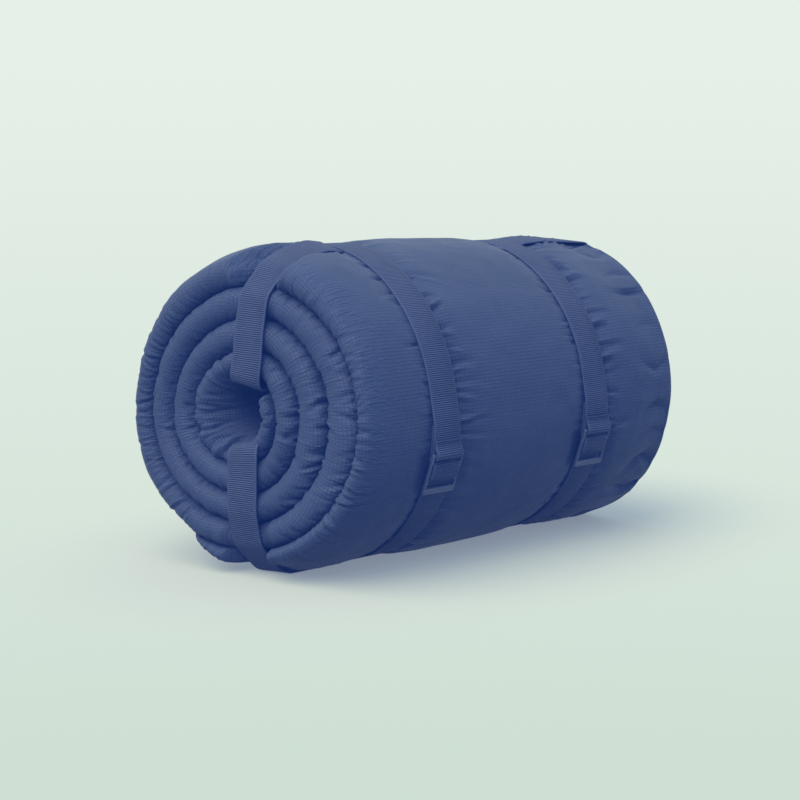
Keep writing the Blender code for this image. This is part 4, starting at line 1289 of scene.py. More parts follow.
# Lip of the bore: how far out each band bends over it, then (x, z, u, lean) from there inwards
BAND_LIP = {1.0: 0.0262, -1.0: 0.0160}
LIP_U = 0.0120
LIP_TILT = {1.0: -0.22, -1.0: -0.20}
LIP_TILT_START = -0.10
LIP_POINTS = (
    (-0.0004, 0.0050, 0.0008, 1.0),
    (0.0008, 0.0010, 0.0, 1.0),
    (0.0060, -0.0002, -0.0030, 1.0),
    (0.0200, 0.0004, -0.0065, 0.3),
)
BORE_START = 0.0500


def stretched_chain(cloud, first, last):
    """The tight line over a cloud of (x, z) from one point to another, on its outer side."""
    ring = hull(cloud + [first, last])
    k = ring.index(first)
    chain = [first]
    while chain[-1] != last:
        k = (k + 1) % len(ring)
        chain.append(ring[k])
    return chain


def band_line(side):
    """Middle of a core band as (x, z, u, lean, tilt), z away from the bore, from front to rear."""
    points = np.concatenate([skin.rows.reshape(-1, 3) for skin in SKINS])
    u = SIDE_SHIFT - points[:, 1]
    z = side * (points[:, 2] - AXIS_HEIGHT)
    near = (np.abs(u - FACE_BAND_U) < HALF_WIDTH) & (z > FACE_SPREAD_Z)
    x, u, z = points[near, 0], u[near], z[near]
    lean = face_share(x)
    flat_x = x - FACE_LEAN_U * lean * (u - FACE_BAND_U)
    tilt = BAND_TILT + EXTRA_TILT[side]
    flat_z = z + np.where(x < 0.0, tilt, BAND_TILT) * (1.0 - lean) * (u - FACE_BAND_U)
    front_x = FRONT_EDGE - FIT
    rear_x = REAR_EDGE + FIT

    def face(z):
        return NOSE_X + FACE_LEAN_U * FACE_BAND_U + FACE_LEAN_Z * z * side - BAND_CLEAR

    def cloud(mask):
        return [(float(a), float(b)) for a, b in zip(flat_x[mask], flat_z[mask])]

    def edge(place):
        return float(flat_z[np.abs(flat_x - place) < EDGE_WINDOW].max()) - BAND_SUNK

    low = (face(FACE_SPREAD_Z), FACE_SPREAD_Z)
    line = []
    for x, z in stretched_chain(cloud(flat_x < front_x), (front_x, edge(front_x)), low):
        share = float(face_share(x))
        line.append((x, z, FACE_BAND_U, share, -tilt * (1.0 - share)))
    lip_z = BAND_LIP[side]
    lip = face(lip_z)
    turned = LIP_TILT[side]
    lip_tilts = (LIP_TILT_START, turned, turned, 0.5 * turned)
    for (dx, dz, du, lean), tilt in zip(LIP_POINTS, lip_tilts):
        line.append((lip + dx, lip_z + dz, LIP_U + du, lean, tilt))
    wall = BORE_BAND_OFFSET + side * CORE_Z + BAND_CLEAR + HALF_THICKNESS
    chain_x = REAR_X + CHAIN_X + CHAIN_DEPTH
    bore = [(lip + BORE_START, wall), (chain_x - CHAIN_ROUND, wall), (chain_x, wall + CHAIN_ROUND)]
    line += [(x, z, BORE_BAND_U, 0.0, 0.0) for x, z in bore]
    line.append((chain_x, FACE_SPREAD_Z, FACE_BAND_U, 0.0, 0.0))
    corner = (chain_x, boundary(COVERED) * REAR_TURN_SHARE)
    for x, z in stretched_chain(cloud(flat_x > rear_x), corner, (rear_x, edge(rear_x))):
        tilt = -BAND_TILT * float(smooth((chain_x - x) / REAR_TILT_FADE))
        line.append((x, z, FACE_BAND_U, 0.0, tilt))
    return line


def resample(line, step):
    """The line at even steps of its length in (x, z)."""
    line = np.array(line)
    steps = np.linalg.norm(np.diff(line[:, :2], axis=0), axis=1)
    marks = np.concatenate([[0.0], np.cumsum(steps)])
    count = int(marks[-1] / step)
    at = np.linspace(0.0, marks[-1], count)
    return np.stack([np.interp(at, marks, line[:, k]) for k in range(line.shape[1])], axis=1)


def build_band(name, side):
    line = smooth_line(resample(band_line(side), BAND_STEP), BAND_ROUNDS)
    away = BAND_CLEAR + HALF_THICKNESS
    centre = side_step(line[:, :2], -away)

    def to_world(points, edge):
        x = points[:, 0] + FACE_LEAN_U * line[:, 3] * edge
        turned = line[:, 4] * edge
        below = centre[:, 1] + turned + HALF_THICKNESS + FLOOR_CLEAR - AXIS_HEIGHT
        z = points[:, 1] + turned - np.maximum(0.0, below) * (side < 0.0)
        return world(x, line[:, 2] + edge, side * z)

    return web_piece(name, centre, to_world)


# Buckles

# Bowed rails: ends along the strap, sink at the ends, and shares of RAIL_DEPTH at the ends and
# bars; they spread a little towards the lower bar, which is thicker than in the part's source
RAIL_ENDS = (-0.0148, 0.0155)
RAIL_OVERHANG = 0.0006
RAIL_SINK = 0.0002
RAIL_SHARES = (0.62, 0.95, 0.85, 0.92, 0.72)
RAIL_CUTS = 9
RAIL_SPREAD = 0.0003
SPREAD_RUN = (0.004, 0.011)
LOWER_EXTRA = 0.0003
BEVELS = {"rail": 0.00062, "lower": 0.00080, "middle": 0.00070}


def build_buckle(end):
    """Three-bar frame: two bowed rails, a round top bar, a flat middle bar, a wide lower bar."""
    inner = HALF_WIDTH + RAIL_GAP
    low, high = RAIL_ENDS
    places = (low, TOP_BAR[0], MIDDLE_BAR[0], LOWER_BAR[0], high)
    top, middle, lower = TOP_BAR[1], MIDDLE_BAR[1], LOWER_BAR[1]
    heights = (top - RAIL_SINK, top, middle, lower, lower - RAIL_SINK)
    low -= RAIL_OVERHANG
    pieces = []
    for side in (-1.0, 1.0):
        centre = (side * (inner + 0.5 * RAIL_WIDTH), 0.5 * (low + high), 0.0)
        rail = box_bar((RAIL_WIDTH, high - low, RAIL_DEPTH), centre, BEVELS["rail"], RAIL_CUTS)
        for vertex in rail.data.vertices:
            place = vertex.co
            thick = float(np.interp(place.y, places, RAIL_SHARES))
            place.z = place.z * thick + float(np.interp(place.y, places, heights))
            spread = float(smooth((place.y - SPREAD_RUN[0]) / SPREAD_RUN[1]))
            place.x += side * RAIL_SPREAD * spread
        pieces.append(rail)
    width = 2.0 * inner + RAIL_WIDTH
    size = (width + RAIL_WIDTH, LOWER_BAR_SIZE[0], LOWER_BAR_SIZE[1] + LOWER_EXTRA)
    pieces.append(box_bar(size, (0.0, *LOWER_BAR), BEVELS["lower"]))
    pieces.append(box_bar((width, *MIDDLE_BAR_SIZE), (0.0, *MIDDLE_BAR), BEVELS["middle"]))
    deselect()
    bpy.ops.mesh.primitive_cylinder_add(
        vertices=20, radius=TOP_BAR_RADIUS, depth=width,
        location=(0.0, *TOP_BAR), rotation=(0.0, 0.5 * math.pi, 0.0))
    bar = bpy.context.object
    bpy.ops.object.transform_apply(location=True, rotation=True, scale=True)
    pieces.append(bar)
    frame_piece = pieces[0]
    for other in pieces[1:]:
        activate(frame_piece)
        modifier = frame_piece.modifiers.new("union", "BOOLEAN")
        modifier.operation = "UNION"
        modifier.solver = "EXACT"
        modifier.object = other
        bpy.ops.object.modifier_apply(modifier=modifier.name)
        bpy.data.objects.remove(other, do_unlink=True)
    frame_piece.name = "buckle_" + end + "_frame"
    frame_piece.data.name = frame_piece.name
    frame_piece.data.transform(BEDS[end].matrix())
    tidy(frame_piece, PLASTIC_EDGE)
    return frame_piece


# Zip

# Tapes with a slight wave, and teeth set between them at a fine pitch
TAPE_STEP = 0.005
TAPE_LOW = 0.0007
TAPE_ROUND = 0.0002
TAPE_WAVE = 0.00012
WAVES = 900.0
TOOTH_SIZE = (0.0013, 0.0020, 0.0011)
TOOTH_BEVEL = 0.00025
TOOTH_STEP = 0.00125
TOOTH_STAGGER = 0.00055
TOOTH_PROBE = 0.01


class EdgeSection:
    """Place of the inner rear edge of the bag at one turn."""

    def __init__(self, turn):
        self.turn = turn
        self.angle = turn_angle(turn)
        self.inner = inner_radius(turn)
        self.full = float(outer_radius(turn, np.array([REAR_X]))[0])

    def place(self, points):
        line = np.array(points)
        top = self.full if self.turn > TURNS - REST_TURNS else 0.0
        u, z = shape(line[:, 0], line[:, 1], self.angle, top)
        return world(line[:, 0], u, z)


def zip_sections(step):
    low, high = ZIP_SPAN
    turns = []
    turn = low
    while turn < high:
        turns.append(turn)
        turn += step / (2.0 * math.pi * inner_radius(turn))
    return [EdgeSection(turn) for turn in turns]


def build_tape(name, low):
    sections = zip_sections(TAPE_STEP)
    back = REAR_X - TAPE_BACK
    out = REAR_X + TAPE_OUT
    high = low + TAPE_CLOTH

    def loop(section):
        wave = TAPE_WAVE * math.sin(WAVES * section.turn)
        inner = section.inner
        middle = inner + 0.5 * (low + high) + wave
        ends = [(out, inner + low + wave), (out + TAPE_ROUND, middle), (out, inner + high + wave)]
        return [(back, inner + low), *ends, (back, inner + high)]

    return layer_piece(name, sections, loop)


def build_teeth():
    """Moulded teeth in two staggered rows, one tooth modelled and then set along the tapes."""
    tooth = box_bar(TOOTH_SIZE, (0.0, 0.0, 0.0), TOOTH_BEVEL)
    base = np.array([vertex.co[:] for vertex in tooth.data.vertices])
    polygons = [tuple(polygon.vertices) for polygon in tooth.data.polygons]
    bpy.data.objects.remove(tooth, do_unlink=True)
    sections = zip_sections(TOOTH_STEP)
    verts = []
    faces = []
    middle = 0.5 * (CHAIN_LOW + CHAIN_TOP)
    chain_x = REAR_X + CHAIN_X + 0.5 * CHAIN_DEPTH
    for k, section in enumerate(sections):
        stagger = TOOTH_STAGGER if k % 2 else -TOOTH_STAGGER
        centre = section.place([(chain_x, section.inner + middle + stagger)])[0]
        low, high = section.place([(0.0, section.inner), (0.0, section.inner + TOOTH_PROBE)])
        out = (high - low) / np.linalg.norm(high - low)
        side = np.cross(out, (1.0, 0.0, 0.0))
        frame_axes = np.array([side, (1.0, 0.0, 0.0), out])
        size = len(verts) * len(base)
        verts.append(base @ frame_axes + centre)
        faces.extend([tuple(i + size for i in polygon) for polygon in polygons])
    mesh = bpy.data.meshes.new("zip_teeth")
    mesh.from_pydata(np.concatenate(verts).tolist(), [], faces)
    piece = bpy.data.objects.new("zip_teeth", mesh)
    bpy.context.collection.objects.link(piece)
    tidy(piece, PLASTIC_EDGE)
    return piece


# Shader nodes


class Value:
    """A shader socket that takes part in sums like a number."""

    def __init__(self, graph, socket):
        self.graph = graph
        self.socket = socket

    def math(self, kind, other=None, swap=False):
        node = self.graph.tree.nodes.new("ShaderNodeMath")
        node.operation = kind
        terms = [other, self] if swap else [self, other]
        for slot, term in zip(node.inputs, terms):
            if term is not None:
                self.graph.feed(slot, term)
        return Value(self.graph, node.outputs[0])

    def __add__(self, other):
        return self.math("ADD", other)

    def __radd__(self, other):
        return self.math("ADD", other, swap=True)

    def __sub__(self, other):
        return self.math("SUBTRACT", other)

    def __rsub__(self, other):
        return self.math("SUBTRACT", other, swap=True)

    def __mul__(self, other):
        return self.math("MULTIPLY", other)

    def __rmul__(self, other):
        return self.math("MULTIPLY", other, swap=True)

    def __abs__(self):
        return self.math("ABSOLUTE")


class Graph:
    """A node tree under construction."""

    def __init__(self, tree):
        self.tree = tree

    def feed(self, slot, value):
        if isinstance(value, Value):
            self.tree.links.new(value.socket, slot)
        else:
            slot.default_value = value

    def add(self, kind, settings=None, out=0, **sockets):
        """Any node but Math; a socket is named, or given as i and its number."""
        node = self.tree.nodes.new("ShaderNode" + kind)
        for key, value in (settings or {}).items():
            setattr(node, key, value)
        for key, value in sockets.items():
            numbered = key[0] == "i" and key[1:].isdigit()
            slot = int(key[1:]) if numbered else key.replace("_", " ")
            self.feed(node.inputs[slot], value)
        return Value(self, node.outputs[out])

    def others(self, value):
        """All outputs of the node that gives a value."""
        return [Value(self, socket) for socket in value.socket.node.outputs]

    def band(self, value, low, high):
        """Smooth step of a value between two limits."""
        settings = {"interpolation_type": "SMOOTHSTEP"}
        return self.add("MapRange", settings, i0=value, i1=low, i2=high)

    def mixed(self, share, a, b):
        """A colour between two others, each of three numbers or a value."""
        a, b = [(*end, 1.0) if isinstance(end, tuple) else end for end in (a, b)]
        return self.add("Mix", {"data_type": "RGBA"}, 2, i0=share, i6=a, i7=b)

    def noise(self, place, scale, detail, rough):
        return self.add("TexNoise", Vector=place, Scale=scale, Detail=detail, Roughness=rough)

    def grain(self, uv, along, across, detail, rough):
        """Noise stretched over the cloth, by how many of its cells go into a metre."""
        place = self.add("Mapping", Vector=uv, Scale=(along, across, 1.0))
        return self.noise(place, 1.0, detail, rough)

    def seen(self):
        """1 where the stage itself is seen: by the camera, in a reflection or through glass."""
        rays = self.others(self.add("LightPath"))
        named = {ray.socket.name: ray for ray in rays}
        seen = named["Is Camera Ray"].math("MAXIMUM", named["Is Glossy Ray"])
        return seen.math("MAXIMUM", named["Is Transmission Ray"])


class Look(Graph):
    """A material under construction."""

    def __init__(self, name):
        self.material = bpy.data.materials.new(name)
        self.material.use_nodes = True
        super().__init__(self.material.node_tree)
        self.shader = self.tree.nodes["Principled BSDF"]

    def set(self, **sockets):
        for key, value in sockets.items():
            self.feed(self.shader.inputs[key.replace("_", " ")], value)

    def bump(self, height, distance, strength=1.0):
        self.set(Normal=self.add("Bump", Height=height, Distance=distance, Strength=strength))

    def place(self):
        return self.add("TexCoord", out=3)


# Finishes

# Painted glow: cloth, webbing and plastic give a weak navy light of their own, which keeps the
# darkest folds navy
PAINTED_NAVY_GLOW = (0.0028, 0.0125, 0.0680, 1.0)
CLOTH_DARK = (0.044, 0.070, 0.142)
LINING_BLUE = (0.10, 0.14, 0.23)
LINING_DARK = (0.06, 0.09, 0.16)
TAPE_BLUE = (0.07, 0.10, 0.17)
TAPE_DARK = (0.04, 0.06, 0.11)
# Painted shade between the webbing's ribs; also the dark end of its random yarn and wear tone
WEB_RIB_SHADE_AND_YARN = (0.012, 0.023, 0.060)
ZIP_BLUE = (0.060, 0.085, 0.140)
FIBRE_WHITE = (0.82, 0.82, 0.80)
FIBRE_SHADE = (0.60, 0.61, 0.62)
THREAD_WIDTH = 0.16
SELVEDGE = (0.0018, 0.0008)
FABRIC_SHEEN = 0.04
FABRIC_SPECULAR = 0.20
PLASTIC_ROUGH = 0.34
PLASTIC_SHADE = 0.72


def cloth_uv(look):
    """The cloth's UV in metres, whole and as its two parts."""
    uv = look.add("UVMap", {"uv_map": "cloth"})
    u, v, _ = look.others(look.add("SeparateXYZ", Vector=uv))
    return uv, u, v


def grid_lines(look, value, pitch):
    """1 on thin lines at an even pitch, 0 between them."""
    cell = (value * (1.0 / pitch)).math("FRACT")
    return look.band(abs(cell - 0.5), 0.5 - THREAD_WIDTH, 0.5)


def cloth_finish(look, settings, base, dark, crinkle):
    """Ripstop nylon: fine weave, a raised grid of thicker threads, crinkles near the gathers."""
    uv, u, v = cloth_uv(look)
    pitch = settings.ripstop_pitch
    lines = grid_lines(look, u, pitch).math("MAXIMUM", grid_lines(look, v, pitch))
    near = look.add("Attribute", {"attribute_name": "gather"}, 2)
    place = look.place()
    broad = look.noise(place, 22.0, 3.0, 0.55)
    fine = look.noise(place, 420.0, 2.0, 0.6)
    crease = look.grain(uv, 190.0, 34.0, 3.0, 0.6)
    pleat = look.grain(uv, 430.0, 75.0, 2.0, 0.5)
    weave = look.grain(uv, 1300.0, 1300.0, 1.0, 0.5)
    sharp = abs(crease - 0.5) * 2.2 + abs(pleat - 0.5) * 1.2
    share = (broad - 0.5) * 0.45 + (fine - 0.5) * 0.35 + lines * (0.80 - near * 0.45)
    share = share + (weave - 0.5) * 0.30 + 0.26
    height = lines * (0.55 - near * 0.35) + weave * 0.14 + (broad - 0.5) * 0.8
    height = height + sharp * (0.14 + near * 3.0) * crinkle
    look.bump(height, 0.0006, 0.9)
    look.set(Base_Color=look.mixed(share, base, dark))
    look.set(Roughness=0.50 + (broad - 0.5) * 0.14 + (fine - 0.5) * 0.10 - lines * 0.04)
    look.set(Sheen_Weight=FABRIC_SHEEN, Sheen_Roughness=0.45, Specular_IOR_Level=FABRIC_SPECULAR)
    # painted glow: a weak navy light of the cloth's own
    look.set(Emission_Color=PAINTED_NAVY_GLOW, Emission_Strength=1.0)


def web_finish(look, settings):
    """Ribbed webbing: ribs across the band, a flat selvedge on both edges, fine yarns, and painted
    shade between the ribs.
    """
    uv, u, v = cloth_uv(look)
    rib = abs((v * (math.pi / settings.rib_pitch)).math("SINE"))
    edge = look.band(abs(u), HALF_WIDTH - SELVEDGE[0], HALF_WIDTH - SELVEDGE[1])
    ribs = rib * (1.0 - edge) + edge * 0.75
    yarn = look.grain(uv, 2600.0, 420.0, 2.0, 0.6)
    worn = look.noise(look.place(), 60.0, 3.0, 0.6)
    # painted shade: dark between the ribs and lighter on them, varied at random by yarn and wear
    share = 0.95 - ribs * 0.95 + (yarn - 0.5) * 0.3 + (worn - 0.5) * 0.4
    look.bump(ribs * 0.9 + (yarn - 0.5) * 0.15, 0.00060)
    look.set(Base_Color=look.mixed(share, tuple(settings.webbing_colour), WEB_RIB_SHADE_AND_YARN))
    look.set(Roughness=0.62 + (yarn - 0.5) * 0.2)
    look.set(Sheen_Weight=FABRIC_SHEEN, Specular_IOR_Level=FABRIC_SPECULAR)
    # painted glow: a weak navy light of the webbing's own
    look.set(Emission_Color=PAINTED_NAVY_GLOW, Emission_Strength=1.0)


def plastic_finish(look, base):
    """Moulded plastic with a fine grain and faint flow marks."""
    place = look.place()
    grain = look.noise(place, 1500.0, 2.0, 0.6)
    flow = look.noise(place, 90.0, 3.0, 0.55)
    dark = tuple(PLASTIC_SHADE * value for value in base)
    look.bump(grain + flow * 0.6, 0.00005, 0.6)
    look.set(Base_Color=look.mixed((flow - 0.35) * 1.4, base, dark))
    look.set(Roughness=PLASTIC_ROUGH + (flow - 0.5) * 0.18)
    # painted glow: a weak navy light of the plastic's own
    look.set(Emission_Color=PAINTED_NAVY_GLOW, Emission_Strength=1.0)


def fibre_finish(look):
    """White polyester fibre filling."""
    strand = look.noise(look.place(), 260.0, 4.0, 0.7)
    look.bump(strand, 0.0008)
    look.set(Base_Color=look.mixed(strand, FIBRE_WHITE, FIBRE_SHADE))
    look.set(Roughness=0.9 + (strand - 0.5) * 0.1)


def dress(piece, material):
    piece.data.materials.clear()
    piece.data.materials.append(material)


# Stage

# Floor: oval that fades out, paler away from the camera; far tones first, then near ones
FLOOR_RADIUS = 1.6
FLOOR_OVAL = (0.62, 1.0, 1.0)
FLOOR_FADE = (0.130, 0.270)
TO_CAMERA = (-0.693, -0.721)
NEAR_REACH = 0.55
FLOOR_PALE = ((0.492, 0.552, 0.436), (0.452, 0.512, 0.400))
FLOOR_GREY = ((0.487, 0.547, 0.432), (0.448, 0.507, 0.396))
FLOOR_LIFT = (0.195, 0.225, 0.278, 1.0)
FLOOR_BOUNCE = (0.060, 0.080, 0.128, 1.0)

# Backdrop: heights of the ray and its tones there, and the colour of the room's own light
SKY_SPAN = (-0.3166, 0.0536)
SKY_LOW = (0.624, 0.738, 0.658)
SKY_HIGH = (0.790, 0.871, 0.807)
ROOM_COLOUR = (0.81, 1.00, 1.29, 1.0)

# Lamps
KEY_ANGLE = 62.0
KEY_COLOUR = (1.0, 0.82, 0.54)
KEY_FROM = (-0.66, 0.04, 1.0)
SIDE_PLACE = (-1.2, -0.5, 0.9)
SIDE_TARGET = (0.0, 0.0, 0.10)
SIDE_SIZE = 0.8
SIDE_COLOUR = (0.95, 0.98, 1.0)


def build_floor():
    """A pale floor that keeps the shadow and gives little light back to the bag."""
    deselect()
    bpy.ops.mesh.primitive_circle_add(vertices=96, radius=FLOOR_RADIUS, fill_type="TRIFAN")
    floor = bpy.context.object
    floor.name = "studio_floor"
    look = Look("studio_floor")
    place = look.place()
    grain = look.add("TexNoise", Vector=place, Scale=3.0, Detail=1.0)
    oval = look.add("Mapping", Vector=place, Scale=FLOOR_OVAL)
    far = look.add("VectorMath", {"operation": "LENGTH"}, 1, i0=oval)
    x, y, _ = look.others(look.add("SeparateXYZ", Vector=place))
    near = look.band(x * TO_CAMERA[0] + y * TO_CAMERA[1], 0.0, NEAR_REACH)
    pale = look.mixed(near, *FLOOR_PALE)
    look.set(Base_Color=look.mixed(grain, pale, look.mixed(near, *FLOOR_GREY)))
    look.set(Roughness=0.95, Specular_IOR_Level=0.0, Alpha=1.0 - look.band(far, *FLOOR_FADE))
    look.set(Emission_Color=FLOOR_LIFT, Emission_Strength=1.0)
    dim = look.add("BsdfDiffuse", Color=FLOOR_BOUNCE)
    shown = Value(look, look.shader.outputs[0])
    blend = look.add("MixShader", i0=look.seen(), i1=dim, i2=shown)
    look.feed(look.tree.nodes["Material Output"].inputs[0], blend)
    dress(floor, look.material)


def build_world(settings):
    """Even light from all sides, and a backdrop that pales with height where it is seen."""
    studio = bpy.data.worlds.new("studio")
    studio.use_nodes = True
    studio.node_tree.nodes.clear()
    graph = Graph(studio.node_tree)
    z = graph.others(graph.add("SeparateXYZ", i0=graph.add("TexCoord")))[2]
    height = graph.add("MapRange", i0=z, i1=SKY_SPAN[0], i2=SKY_SPAN[1])
    backdrop = graph.add("Background", i0=graph.mixed(height, SKY_LOW, SKY_HIGH))
    light = graph.add("Background", i0=ROOM_COLOUR, i1=settings.room_light)
    blend = graph.add("MixShader", i0=graph.seen(), i1=light, i2=backdrop)
    output = graph.tree.nodes.new("ShaderNodeOutputWorld")
    graph.feed(output.inputs[0], blend)
    bpy.context.scene.world = studio


def set_up(name, data, place, direction, axis="-Z"):
    """Link a lamp or the camera at a place, one of its axes along a direction."""
    item = bpy.data.objects.new(name, data)
    bpy.context.collection.objects.link(item)
    item.location = place
    item.rotation_euler = Vector(direction).to_track_quat(axis, "Y").to_euler()
    return item


def build_lamps(settings):
    sun = bpy.data.lights.new("key", "SUN")
    sun.energy = settings.key_power
    sun.angle = math.radians(KEY_ANGLE)
    sun.color = KEY_COLOUR
    set_up("key", sun, (0.0, 0.0, 0.0), KEY_FROM, "Z")
    side = bpy.data.lights.new("side", "AREA")
    side.size = SIDE_SIZE
    side.energy = settings.fill_power
    side.color = SIDE_COLOUR
    set_up("side", side, SIDE_PLACE, Vector(SIDE_TARGET) - Vector(SIDE_PLACE))


def build_camera():
    data = bpy.data.cameras.new("camera")
    data.lens = CAMERA_LENS
    data.sensor_width = 36.0
    data.clip_start = 0.01
    view = Vector(CAMERA_TARGET) - Vector(CAMERA_PLACE)
    bpy.context.scene.camera = set_up("camera", data, CAMERA_PLACE, view)


def build_stage(settings):
    build_floor()
    build_world(settings)
    build_lamps(settings)
    build_camera()
    bpy.context.scene.view_settings.view_transform = "Standard"


# Add-on parts


class BagSettings(bpy.types.PropertyGroup):
    gather_depth: bpy.props.FloatProperty(
        name="Gather depth", description="Depth of the cloth's gathers against the measured ones",
        default=1.0, min=0.0, max=2.0)
    ripstop_pitch: bpy.props.FloatProperty(
        name="Ripstop pitch", description="Distance between the thicker threads of the cloth",
        default=0.0024, unit="LENGTH", subtype="DISTANCE")
    rib_pitch: bpy.props.FloatProperty(
        name="Rib pitch", description="Distance between the ribs of the webbing",
        default=0.00145, unit="LENGTH", subtype="DISTANCE")
    cloth_colour: bpy.props.FloatVectorProperty(
        name="Cloth colour", description="Colour of the outer cloth between its thicker threads",
        default=(0.072, 0.111, 0.208), min=0.0, max=1.0, subtype="COLOR")
    webbing_colour: bpy.props.FloatVectorProperty(
        name="Webbing colour", description="Colour of the ribs of the straps and bands",
        default=(0.091, 0.131, 0.240), min=0.0, max=1.0, subtype="COLOR")
    buckle_colour: bpy.props.FloatVectorProperty(
        name="Buckle colour", description="Colour of the buckles' plastic",
        default=(0.092, 0.126, 0.206), min=0.0, max=1.0, subtype="COLOR")
    room_light: bpy.props.FloatProperty(
        name="Room light", description="Strength of the even light from all sides", default=0.54)
    key_power: bpy.props.FloatProperty(
        name="Key light", description="Strength of the main light, a very wide sun", default=1.85)
    fill_power: bpy.props.FloatProperty(
        name="Side light", description="Power of the weak light at the front end", default=2.6,
        unit="POWER")


def material(name, settings):
    """The finished material of a slot, made once."""
    found = bpy.data.materials.get("finish_" + name)
    if found:
        return found
    look = Look("finish_" + name)
    blue = tuple(settings.cloth_colour)
    finishes = {
        "cloth": lambda: cloth_finish(look, settings, blue, CLOTH_DARK, 1.0),
        "lining": lambda: cloth_finish(look, settings, LINING_BLUE, LINING_DARK, 0.5),
        "tape": lambda: cloth_finish(look, settings, TAPE_BLUE, TAPE_DARK, 0.0),
        "webbing": lambda: web_finish(look, settings),
        "filling": lambda: fibre_finish(look),
        "buckle": lambda: plastic_finish(look, tuple(settings.buckle_colour)),
        "zip": lambda: plastic_finish(look, ZIP_BLUE),
    }
    finishes[name]()
    return look.material


def finish_piece(piece, slot, body, settings, *nodes):
    dress(piece, material(slot, settings))
    if body:
        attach(piece, body)
    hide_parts(*nodes)


LAYER_SLOTS = {
    "bottom_filling": "filling",
    "lining": "lining",
    "top_filling": "filling",
    "top_shell": "cloth",
}

# Heights over the bed at a buckle's middle; the bight's places at them are worked out but not used
# further
BIGHT_BLEND = (0.0012, 0.0046)


class BAG_OT_shell(bpy.types.Operator):
    """Add the wound outer shell with its folds and gathers"""
    bl_idname = "sleeping_bag.add_shell"
    bl_label = "Add shell"

    def execute(self, context):
        settings = context.scene.sleeping_bag
        shell = build_shell(settings)
        finish_piece(shell, "cloth", "roll", settings, "bottom_shell")
        return {"FINISHED"}


class BAG_OT_layers(bpy.types.Operator):
    """Add the fillings, the lining and the inner shell"""
    bl_idname = "sleeping_bag.add_layers"
    bl_label = "Add inner layers"

    def execute(self, context):
        if not SKINS:
            raise RuntimeError("the shell comes before the layers")
        settings = context.scene.sleeping_bag
        made = build_layers()
        for node, slot in LAYER_SLOTS.items():
            finish_piece(made[node], slot, "roll", settings, node)
        return {"FINISHED"}


class BAG_OT_straps(bpy.types.Operator):
    """Add the two straps round the roll with their stitches"""
    bl_idname = "sleeping_bag.add_straps"
    bl_label = "Add straps"

    def execute(self, context):
        if not SKINS:
            raise RuntimeError("the shell comes before the straps")
        settings = context.scene.sleeping_bag
        for end in STRAP_X:
            strap, bight, stitches = build_strap(end)
            finish_piece(strap, "webbing", "roll", settings, "strap_" + end)
            finish_piece(bight, "webbing", None, settings, "strap_" + end)
            bed = BEDS[end]
            low, high = [Vector(world(bed.x, *bed.flat((0.0, out)))) for out in BIGHT_BLEND]
            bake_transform(bight)
            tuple(low)
            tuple(high)
            dress(stitches, material("webbing", settings))
            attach(stitches, "roll")
        return {"FINISHED"}


class BAG_OT_bands(bpy.types.Operator):
    """Add the two bands over the ends and through the bore"""
    bl_idname = "sleeping_bag.add_bands"
    bl_label = "Add core bands"

    def execute(self, context):
        if not SKINS:
            raise RuntimeError("the shell comes before the bands")
        settings = context.scene.sleeping_bag
        for name, side in (("upper", 1.0), ("lower", -1.0)):
            band = build_band("band_" + name, side)
            finish_piece(band, "webbing", "roll", settings, "core_strap_" + name)
        return {"FINISHED"}


class BAG_OT_buckles(bpy.types.Operator):
    """Add the three-bar buckles"""
    bl_idname = "sleeping_bag.add_buckles"
    bl_label = "Add buckles"

    def execute(self, context):
        if not BEDS:
            raise RuntimeError("the straps come before the buckles")
        settings = context.scene.sleeping_bag
        for end in STRAP_X:
            buckle = build_buckle(end)
            finish_piece(buckle, "buckle", "buckle_" + end, settings, "buckle_" + end)
        return {"FINISHED"}


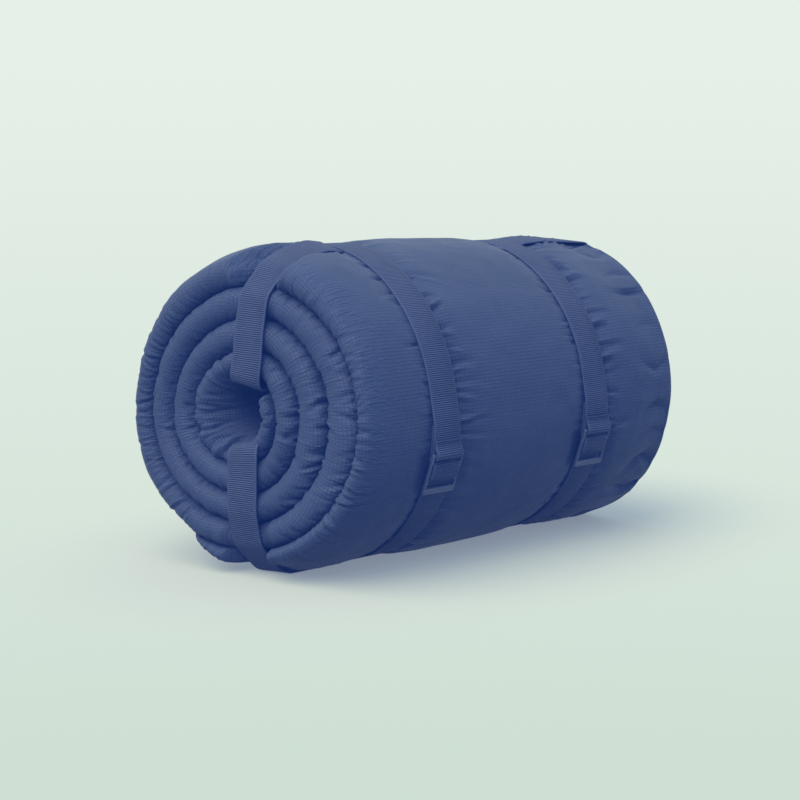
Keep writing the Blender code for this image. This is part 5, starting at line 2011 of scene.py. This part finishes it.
class BAG_OT_zip(bpy.types.Operator):
    """Add the zip's tapes and teeth and finish its slider and puller"""
    bl_idname = "sleeping_bag.add_zip"
    bl_label = "Add zip"

    def execute(self, context):
        settings = context.scene.sleeping_bag
        for name, low in (("bottom", TAPE_LOW), ("top", TAPE_LOW + TAPE_APART)):
            tape = build_tape("tape_" + name, low)
            finish_piece(tape, "tape", "roll", settings, "zip_tape_" + name)
        teeth = build_teeth()
        finish_piece(teeth, "zip", "roll", settings, "zip_chain")
        for node in ("zip_slider", "zip_puller"):
            item = frame["nodes"][node]
            for slot in item.material_slots:
                slot.material = material("zip", settings)
        return {"FINISHED"}


class BAG_OT_stage(bpy.types.Operator):
    """Add the studio floor, the lights and the camera"""
    bl_idname = "sleeping_bag.add_stage"
    bl_label = "Add stage"

    def execute(self, context):
        build_stage(context.scene.sleeping_bag)
        return {"FINISHED"}


class BAG_PT_panel(bpy.types.Panel):
    """Buttons and sizes of the sleeping bag"""
    bl_idname = "BAG_PT_panel"
    bl_label = "Sleeping bag"
    bl_space_type = "VIEW_3D"
    bl_region_type = "UI"
    bl_category = "Sleeping bag"

    def draw(self, context):
        settings = context.scene.sleeping_bag
        for name in BagSettings.__annotations__:
            self.layout.prop(settings, name)
        for kind in OPERATORS:
            self.layout.operator(kind.bl_idname)


OPERATORS = (
    BAG_OT_shell,
    BAG_OT_layers,
    BAG_OT_straps,
    BAG_OT_bands,
    BAG_OT_buckles,
    BAG_OT_zip,
    BAG_OT_stage,
)
CLASSES = (BagSettings, *OPERATORS, BAG_PT_panel)


def register():
    for kind in CLASSES:
        bpy.utils.register_class(kind)
    bpy.types.Scene.sleeping_bag = bpy.props.PointerProperty(type=BagSettings)


def unregister():
    del bpy.types.Scene.sleeping_bag
    for kind in reversed(CLASSES):
        bpy.utils.unregister_class(kind)


def main():
    register()
    bpy.ops.sleeping_bag.add_shell()
    bpy.ops.sleeping_bag.add_layers()
    bpy.ops.sleeping_bag.add_straps()
    bpy.ops.sleeping_bag.add_bands()
    bpy.ops.sleeping_bag.add_buckles()
    bpy.ops.sleeping_bag.add_zip()
    bpy.ops.sleeping_bag.add_stage()


if __name__ == "__main__":
    main()
